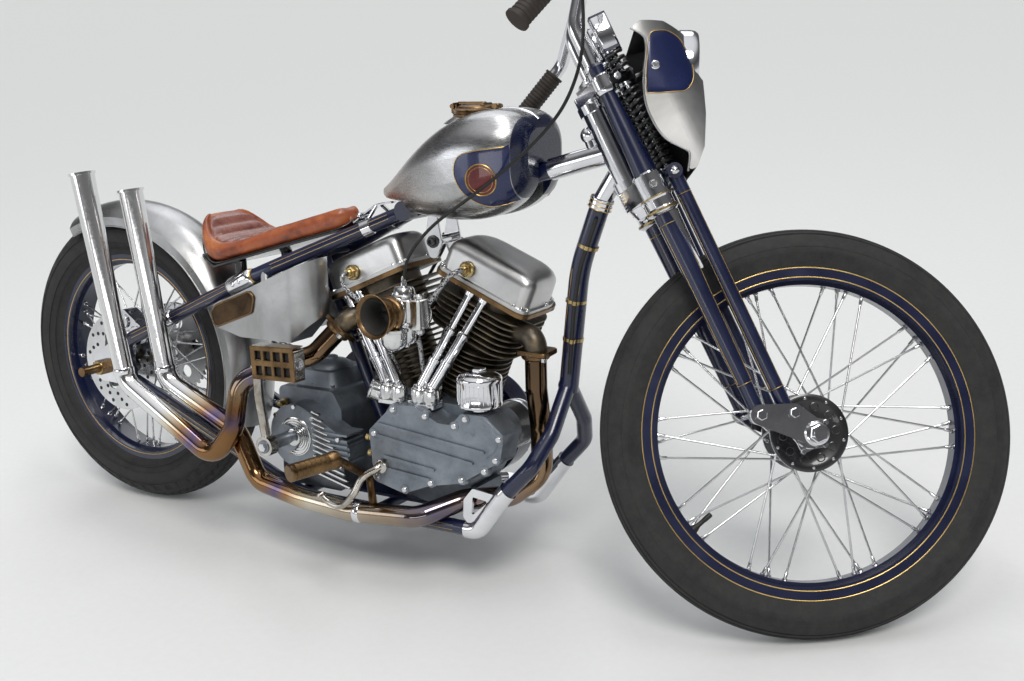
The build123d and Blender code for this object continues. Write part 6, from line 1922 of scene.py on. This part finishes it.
def foot_pegs():
    """Ribbed sleeves on both pegs."""
    made = Piece(BIKE)
    for start, end in (((724, -220, 250), (690, -318, 245)), ((640, 222, 206), (634, 326, 214))):
        run = Vector(end) - Vector(start)
        length = run.length
        profile = [(14.6, 2), (17.4, 4), (17.6, 14), (16.4, 17)]
        level = 22
        while level < length - 16:
            profile += [(15.6, level), (16.4, level + 0.6), (16.4, level + 8.6), (15.6, level + 9.2)]
            level += 10.4
        profile += [(16, length - 10), (16.8, length - 8), (16.6, length - 2), (14.4, length + 0.1),
                    (0.01, length + 0.2)]
        made.lathe(profile, aimed(start, run), 36)
    made.make("peg_sleeves", BRONZE, "frame", "bronze")


CABLE_ROUTE = [(1240, -236, 1108), (1226, -196, 1104), (1202, -146, 1096), (1180, -102, 1070),
               (1170, -78, 1026), (1167, -76, 980), (1160, -84, 934), (1142, -100, 882), (1107, -118, 835),
               (1044, -128, 781),
               (974, -132, 732), (900, -130, 687), (851, -128, 643), (825, -128, 604), (822, -128, 566)]
CABLE_RADIUS = 3


def cable_path():
    """The points of one smooth curve along the cable's route, in metres."""
    data = bpy.data.curves.new("cable_route", "CURVE")
    data.dimensions = "3D"
    data.resolution_u = 12
    spline = data.splines.new("NURBS")
    spline.points.add(len(CABLE_ROUTE) - 1)
    for point, place in zip(spline.points, CABLE_ROUTE):
        point.co = (*(BIKE @ Vector(place)), 1)
    spline.order_u = 3
    spline.use_endpoint_u = True
    holder = add_to_scene("cable_route", data)
    bpy.context.view_layer.update()
    line = bpy.data.meshes.new_from_object(holder)
    path = [vertex.co.copy() for vertex in line.vertices]
    bpy.data.objects.remove(holder)
    bpy.data.meshes.remove(line)
    return path


def control_cable():
    """The throttle's cable from the right grip, across the tank, down to the carburettor."""
    path = cable_path()
    made = Piece(BIKE)
    inverse = BIKE.inverted()
    made.tube([inverse @ point for point in path], CABLE_RADIUS, 12)
    cable = made.make("throttle_cable", HOSE, None, "black_paint", 60)
    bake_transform(cable)
    ferrule = Piece(BIKE)
    ferrule.lathe([(3.2, 0), (5.6, 1), (5.6, 12), (4.2, 14), (4.2, 22), (3.1, 24)],
                  aimed((822, -128, 560), UP), 20)
    ferrule.make("cable_ferrule", STAINLESS, "frame", "chrome")


def brake_pedal():
    """A tapered arm with a ball at its toe and a boss at its pivot."""
    made = Piece(BIKE)
    path = smooth_path([(772, -146, 224), (764, -160, 219), (742, -174, 202), (729, -186, 172),
                        (703, -190, 146), (676, -190, 146), (657, -190, 156)], 8)
    made.tube(path, [8 - 2.5 * k / (len(path) - 1) for k in range(len(path))], 16)
    made.lathe([(0.01, -9), (6, -7), (9, 0), (6, 7), (0.01, 9)], aimed((654, -190, 158), (0, 1, 0)), 20)
    made.lathe([(13, -3), (13, 9), (9, 11), (0.01, 11)], aimed((772, -146, 224), (0, -1, 0)), 28)
    made.make("brake_pedal", AGED, "frame", "chrome")


carburettor_parts()
control_cable()
brake_pedal()
cam_trim()
generator_trim()
oil_canister()
case_fittings()
exhaust_clamps()
gearbox_trim()
kick_pedal()
foot_pegs()


# Frame: gilt lines, clamps, conduit, engine mount, oil tank trim, brake, chain, hub and fender edge

TUBE_RADIUS = 14


def run_line(made, path, radius, towards, thickness=0.55):
    """A fine line laid along a tube's skin on the side that a vector points to."""
    points = [Vector(p) for p in path]
    skin = []
    for index, point in enumerate(points):
        heading = heading_at(points, index)
        out = Vector(towards)
        out = (out - heading * out.dot(heading)).normalized()
        skin.append(point + out * (radius + 0.15))
    made.tube(skin, thickness, 6)


def frame_lines():
    """Gilt lines along the frame's tubes, and three rings at the head of the front one."""
    made = Piece(BIKE)
    for side in (-1, 1):
        for start, end, first, last in ((CLUSTER, STAY_KNEE, 0.1, 0.88), (STAY_KNEE, STAY_EAR, 0.12, 0.9),
                                        (RAIL_KNEE, RAIL_EAR, 0.12, 0.9), (RAIL_FRONT, RAIL_KNEE, 0.03, 0.9)):
            start, end = on_side(start, side), on_side(end, side)
            for tilt in (0.55, -0.15):
                run_line(made, [start.lerp(end, first), start.lerp(end, last)], TUBE_RADIUS, (0, side, tilt))
        for tilt in (0.75, -0.35):
            run_line(made, [(1116, 0, 600), (1099, 0, 480), (1092, 0, 400)], 18, (tilt, side, 0), 0.6)
    made.make("frame_gilt_lines", GOLD, "frame", "bronze", 60)
    collar = Piece(BIKE)
    top, low = Vector((1156, 0, 708)), Vector((1116, 0, 600))
    for shift in (1, 9, 16):
        collar.lathe([(21.2, shift - 17), (21.9, shift - 16), (21.2, shift - 15)], aimed(top, low - top), 40)
    collar.make("downtube_collar_lines", GOLD, "frame", "bronze", 60)


def stay_clamps():
    """Two-bolt bright clamps where the fender's struts meet the upper stays."""
    made = Piece(BIKE)
    gilt = Piece(BIKE)
    for side in (-1, 1):
        knee, ear = on_side(STAY_KNEE, side), on_side(STAY_EAR, side)
        local = aimed(knee.lerp(ear, 0.1), ear - knee, (0, side, 0))
        made.lathe([(14.2, -34), (16.6, -32), (18.6, -25), (18.6, 25), (16.6, 32), (14.2, 34)], local, 36)
        for level in (-9, 9):
            made.bolt(local @ aimed((18.2, 0, level), FORWARD), 4.5, 4, "dome")
        gilt.lathe([(14.3, -38), (15.2, -36.8), (14.3, -35.6)], local, 32)
        made.lathe([(14.2, -9), (16.4, -7), (16.4, 7), (14.2, 9)],
                   aimed(knee.lerp(ear, 0.62), ear - knee), 32)
    made.make("stay_clamps", CHROME, "frame", "chrome")
    gilt.make("stay_clamp_lines", GOLD, "frame", "bronze", 60)


def conduit():
    """A dark conduit down the front tube with brass clips."""
    made = Piece(BIKE)
    clips = Piece(BIKE)
    path = [Vector((x, -21.5, z)) for x, z in ((1161, 692), (1142, 640), (1128, 600), (1117, 540),
                                               (1110, 470), (1105, 410))]
    made.tube(smooth_path(path, 8), 4.2, 12)
    for index in (1, 3, 4):
        spot = path[index]
        run = heading_at(path, index)
        clips.lathe([(4.4, -4), (5.8, -3.6), (5.8, 3.6), (4.4, 4)], aimed(spot, run), 20)
        clips.lathe([(18.1, -3.4), (19.2, -3), (19.2, 3), (18.1, 3.4)], aimed((spot.x - 9, 0, spot.z), run),
                    40)
    made.make("wiring_conduit", HOSE, "frame", "black_paint", 60)
    clips.make("conduit_clips", BRASS, "frame", "bronze")


def engine_bracket():
    """The top mount between the heads, with its bolt."""
    made = Piece(BIKE)
    plate = rounded([(820, 604), (836, 604), (848, 634), (843, 660), (836, 694), (820, 694), (814, 660),
                     (808, 634)],
                    7)
    for y in (-34, 28):
        made.prism(plate, 0, 5, aimed((0, y, 0), (0, -1, 0)), 1)
    made.tube([(828, -40, 636), (828, 30, 636)], 9, 20)
    made.make("top_mount", CHROME, "frame", "chrome")
    bolt = Piece(BIKE)
    bolt.lathe([(12, 0), (12, 1.6), (10, 2.2)], aimed((828, -39.6, 636), (0, -1, 0)), 28)
    bolt.bolt(aimed((828, -41.4, 636), (0, -1, 0)), 8.6, 8, "socket")
    bolt.make("top_mount_bolt", BLACK, "frame", "black_paint")


def oil_tank_trim():
    """A blank bronze plate with a rim on each side, and the filler cap."""
    plate = Piece(BIKE)
    rim = Piece(BIKE)
    outline = rounded([(356, 462), (370, 454), (466, 490), (474, 522), (462, 532), (372, 498), (354, 482)], 6)
    for side in (-1, 1):
        rows = facing_out(patch("oil_tank", outline, side, 260, 2, 6), side)
        plate.rings(rows, True, True, False)
        path = [p + Vector((0, side * 0.2, 0)) for p in rows[-1]]
        rim.tube(path + [path[0]], 2, 8, False)
    plate.make("oil_tank_plates", DARK_BRONZE, "frame", "bronze", 60)
    rim.make("oil_tank_plate_rims", BRONZE, "frame", "bronze", 60)
    cap = Piece(BIKE)
    top = onto("oil_tank", (420, 0, 700), (0, 0, -1))
    cap.lathe([(17, -2), (17, 8), (21, 9), (21, 17), (18, 20), (0.01, 21)], aimed(top, UP), 36)
    cap.make("oil_cap", BRASS, "frame", "bronze")


def rear_brake():
    """The caliper's piston caps, its bolt and its line, and the axle's collars."""
    made = Piece(BIKE)
    tilt = math.radians(35)
    for side in (-1, 1):
        for shift in (-20, 20):
            spot = (58 + shift * math.cos(tilt), -76 + side * 18, 414 - shift * math.sin(tilt))
            made.lathe([(15.5, 0), (15.5, 3), (13.5, 5), (0.01, 5.5)], aimed(spot, (0, side, 0)), 30)
    made.bolt(aimed((40, -94, 392), (0, -1, 0)), 7, 6)
    made.make("caliper_pistons", CHROME, "frame", "chrome")
    line = Piece(BIKE)
    line.tube(smooth_path([(80, -94, 428), (104, -104, 440), (150, -112, 440), (230, -119, 465),
                           (330, -116, 512)], 8),
              3.2, 10)
    line.make("rear_brake_line", HOSE, "frame", "black_paint", 60)
    collars = Piece(BIKE)
    for side in (1, -1):
        collars.lathe([(10.3, 0), (15, 0), (15, 2), (10.3, 2.4)],
                      aimed((0, side * 140.3, REAR_RADIUS), (0, side, 0)), 28)
    collars.make("axle_collars", BRASS, "frame", "bronze")


CHAIN_PITCH = 15.875
CHAIN_Y = 92
REAR_PITCH_RADIUS, FRONT_PITCH_RADIUS = 98, 44
LINK_RADIUS = 6.6


def chain_rollers():
    """The (x, z) places of the chain's rollers, evenly round both sprockets."""
    rear, front = Vector((0, REAR_RADIUS)), Vector((GEAR_SHAFT.x, GEAR_SHAFT.z))
    along = front - rear
    heading = math.atan2(along.y, along.x)
    spread = math.acos((REAR_PITCH_RADIUS - FRONT_PITCH_RADIUS) / along.length)
    points = []
    for centre, radius, count, first, last in (
            (rear, REAR_PITCH_RADIUS, 60, heading + spread, heading - spread + 2 * math.pi),
            (front, FRONT_PITCH_RADIUS, 24, heading - spread, heading + spread)):
        for k in range(count):
            angle = first + (last - first) * k / (count - 1)
            points.append(centre + Vector(polar(1, angle)) * radius)
    lengths = [0]
    for p, q in zip(points, points[1:] + points[:1]):
        lengths.append(lengths[-1] + (q - p).length)
    total = lengths[-1]
    count = int(total / CHAIN_PITCH) // 2 * 2
    rollers = []
    for k in range(count):
        want = total * k / count
        index = max(i for i in range(len(points)) if lengths[i] <= want + 1e-9)
        share = (want - lengths[index]) / (lengths[index + 1] - lengths[index])
        rollers.append(points[index].lerp(points[(index + 1) % len(points)], share))
    return rollers


def chain():
    """The rollers, pins and side plates of every link."""
    made = Piece(BIKE)
    rollers = chain_rollers()
    for k, place in enumerate(rollers):
        run = rollers[(k + 1) % len(rollers)] - place
        for radius, half, segments in ((4.9, 5, 10), (2.6, 8.4, 8)):
            made.lathe([(radius, -half), (radius, half)], aimed((place.x, CHAIN_Y, place.y), (0, 1, 0)),
                       segments)
        outline = []
        for end, base in ((1, 0), (-1, math.pi)):
            for step in range(7):
                angle = base - math.pi / 2 + math.pi * step / 6
                outline.append(polar(LINK_RADIUS, angle, (end * run.length / 2, 0)))
        middle = (place + rollers[(k + 1) % len(rollers)]) / 2
        width = 6.6 if k % 2 else 4.2
        for side in (-1, 1):
            made.prism(outline, 0, 1.6,
                       aimed((middle.x, CHAIN_Y + side * width, middle.y), (0, side, 0), (run.x, 0, run.y)))
    band = made.make("roller_chain", STAINLESS, "frame", "bare_metal")
    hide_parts("drive_chain")


def rear_hub_trim():
    """The sprocket's and the disc's bolts, the disc's drillings as near-black discs of painted shade, and the
    disc's carrier.
    """
    bolts = Piece(REAR_WHEEL)
    for angle in turns(5, 8.6):
        bolts.bolt(on_hub(32, angle, 95.2), 6.5, 6)
    for angle in turns(6, 30):
        bolts.bolt(on_hub(32, angle, -82.6), 5.5, 5, "socket")
    bolts.make("rear_wheel_bolts", STAINLESS, "rear_wheel", "chrome")
    # Thin near-black discs laid on the disc: painted shade standing for its drilled holes
    holes = Piece(REAR_WHEEL)
    for k in range(14):
        for row, radius in enumerate((76, 86.5, 97)):
            angle = math.radians(360 / 14 * k + 9 * row)
            holes.lathe([(4.4, -0.5), (4.2, 0.25), (0.01, 0.25)], on_hub(radius, angle, -78.6), 14)
    holes.make("disc_hole_shade", DARK, "rear_wheel", "black_paint")
    carrier = Piece(REAR_WHEEL)
    outline = [polar(58 + 7 * math.cos(6 * angle), angle) for angle in turns(60)]
    inner = [(x * 0.66, y * 0.66) for x, y in outline]
    face = on_hub(0, 0, -78.5)
    carrier.rings([[face @ Vector((x, y, level)) for x, y in shape]
                   for shape, level in ((inner, 0.1), (outline, 0.1), (outline, 2.4), (inner, 2.4))],
                  True, join_ends=True)
    for angle in turns(6):
        carrier.bolt(on_hub(59, angle, -81), 4.4, 3, "dome")
    carrier.make("disc_carrier", BLACK, "rear_wheel", "black_paint")


def fender_trim():
    """The rolled edge along both sides of the rear fender."""
    made = Piece(BIKE)
    for side in (-1, 1):
        path = []
        for k in range(61):
            x, z = polar(300.6, math.radians(-19.5 + 135 * k / 60), (0, REAR_RADIUS))
            path.append((x, side * 65.4, z))
        made.tube(path, 1.9, 8)
    made.make("fender_rolled_edge", STEEL, "frame", "bare_metal", 60)


frame_lines()
stay_clamps()
conduit()
engine_bracket()
oil_tank_trim()
rear_brake()
chain()
rear_hub_trim()
fender_trim()


# Primary cover, grips and risers


def primary_trim():
    """Domed screws round the primary cover, and its two round caps."""
    made = Piece(BIKE)
    crank, shaft = (CRANK.x, CRANK.z), (GEAR_SHAFT.x, GEAR_SHAFT.z)
    for angle in turns(10):
        for centre, other, radius in ((crank, shaft, 98), (shaft, crank, 110)):
            x, z = polar(radius, angle, centre)
            inwards = (x - centre[0]) * (other[0] - centre[0]) + (z - centre[1]) * (other[1] - centre[1])
            if inwards < 0 or abs(math.sin(angle)) > 0.9:
                found = onto("primary_cover", (x, 260, z), (0, -1, 0))
                if found is not None and found.y > 150:
                    made.bolt(aimed(found, (0, 1, 0)), 5.5, 5, "dome")
    for angle in turns(6, 15):
        x, z = polar(66, angle, shaft)
        made.bolt(aimed((x, 176.2, z), (0, 1, 0)), 4.2, 4, "screw")
    made.make("primary_screws", STAINLESS, "frame", "chrome")
    rings = Piece(BIKE)
    rings.lathe([(58, 0), (58.5, 1.2), (60, 1.8), (61.5, 1.2), (62, 0)],
                aimed((shaft[0], 176.9, shaft[1]), (0, 1, 0)), 72, True)
    rings.lathe([(36, 0), (36, 2.4), (33, 4), (16, 5), (0.01, 5.2)],
                aimed((crank[0], 169.9, crank[1]), (0, 1, 0)), 56)
    rings.make("primary_caps", CHROME, "frame", "chrome")


def bars():
    """The grips' ribs and the collars on the risers."""
    ribs = Piece(FORK)
    collars = Piece(FORK)
    profile = [(17, 4.5)]
    level = 7
    while level < 112:
        profile += [(17, level), (18.1, level + 1.2), (18.1, level + 4), (17, level + 5.2)]
        level += 7.2
    profile.append((17, 117))
    for side in (-1, 1):
        before, end = Vector((24, side * 312, 812)), Vector((-100, side * 338, 752))
        run = (end - before).normalized()
        grip = aimed(end - run * 118, run)
        ribs.lathe(profile, grip, 32)
        ribs.lathe([(18.5, -0.4), (18.9, 1), (18.9, 3.2), (17, 4.8)], grip, 32)
        for level in (690, 704):
            collars.lathe([(12.9, -5), (16.5, -4), (16.5, 4), (12.9, 5)],
                          Matrix.Translation((18, side * 40, level)), 30)
    ribs.make("grip_ribs", GRIP, "fork", "grip_rubber")
    collars.make("riser_collars", CHROME, "fork", "chrome")


primary_trim()
bars()
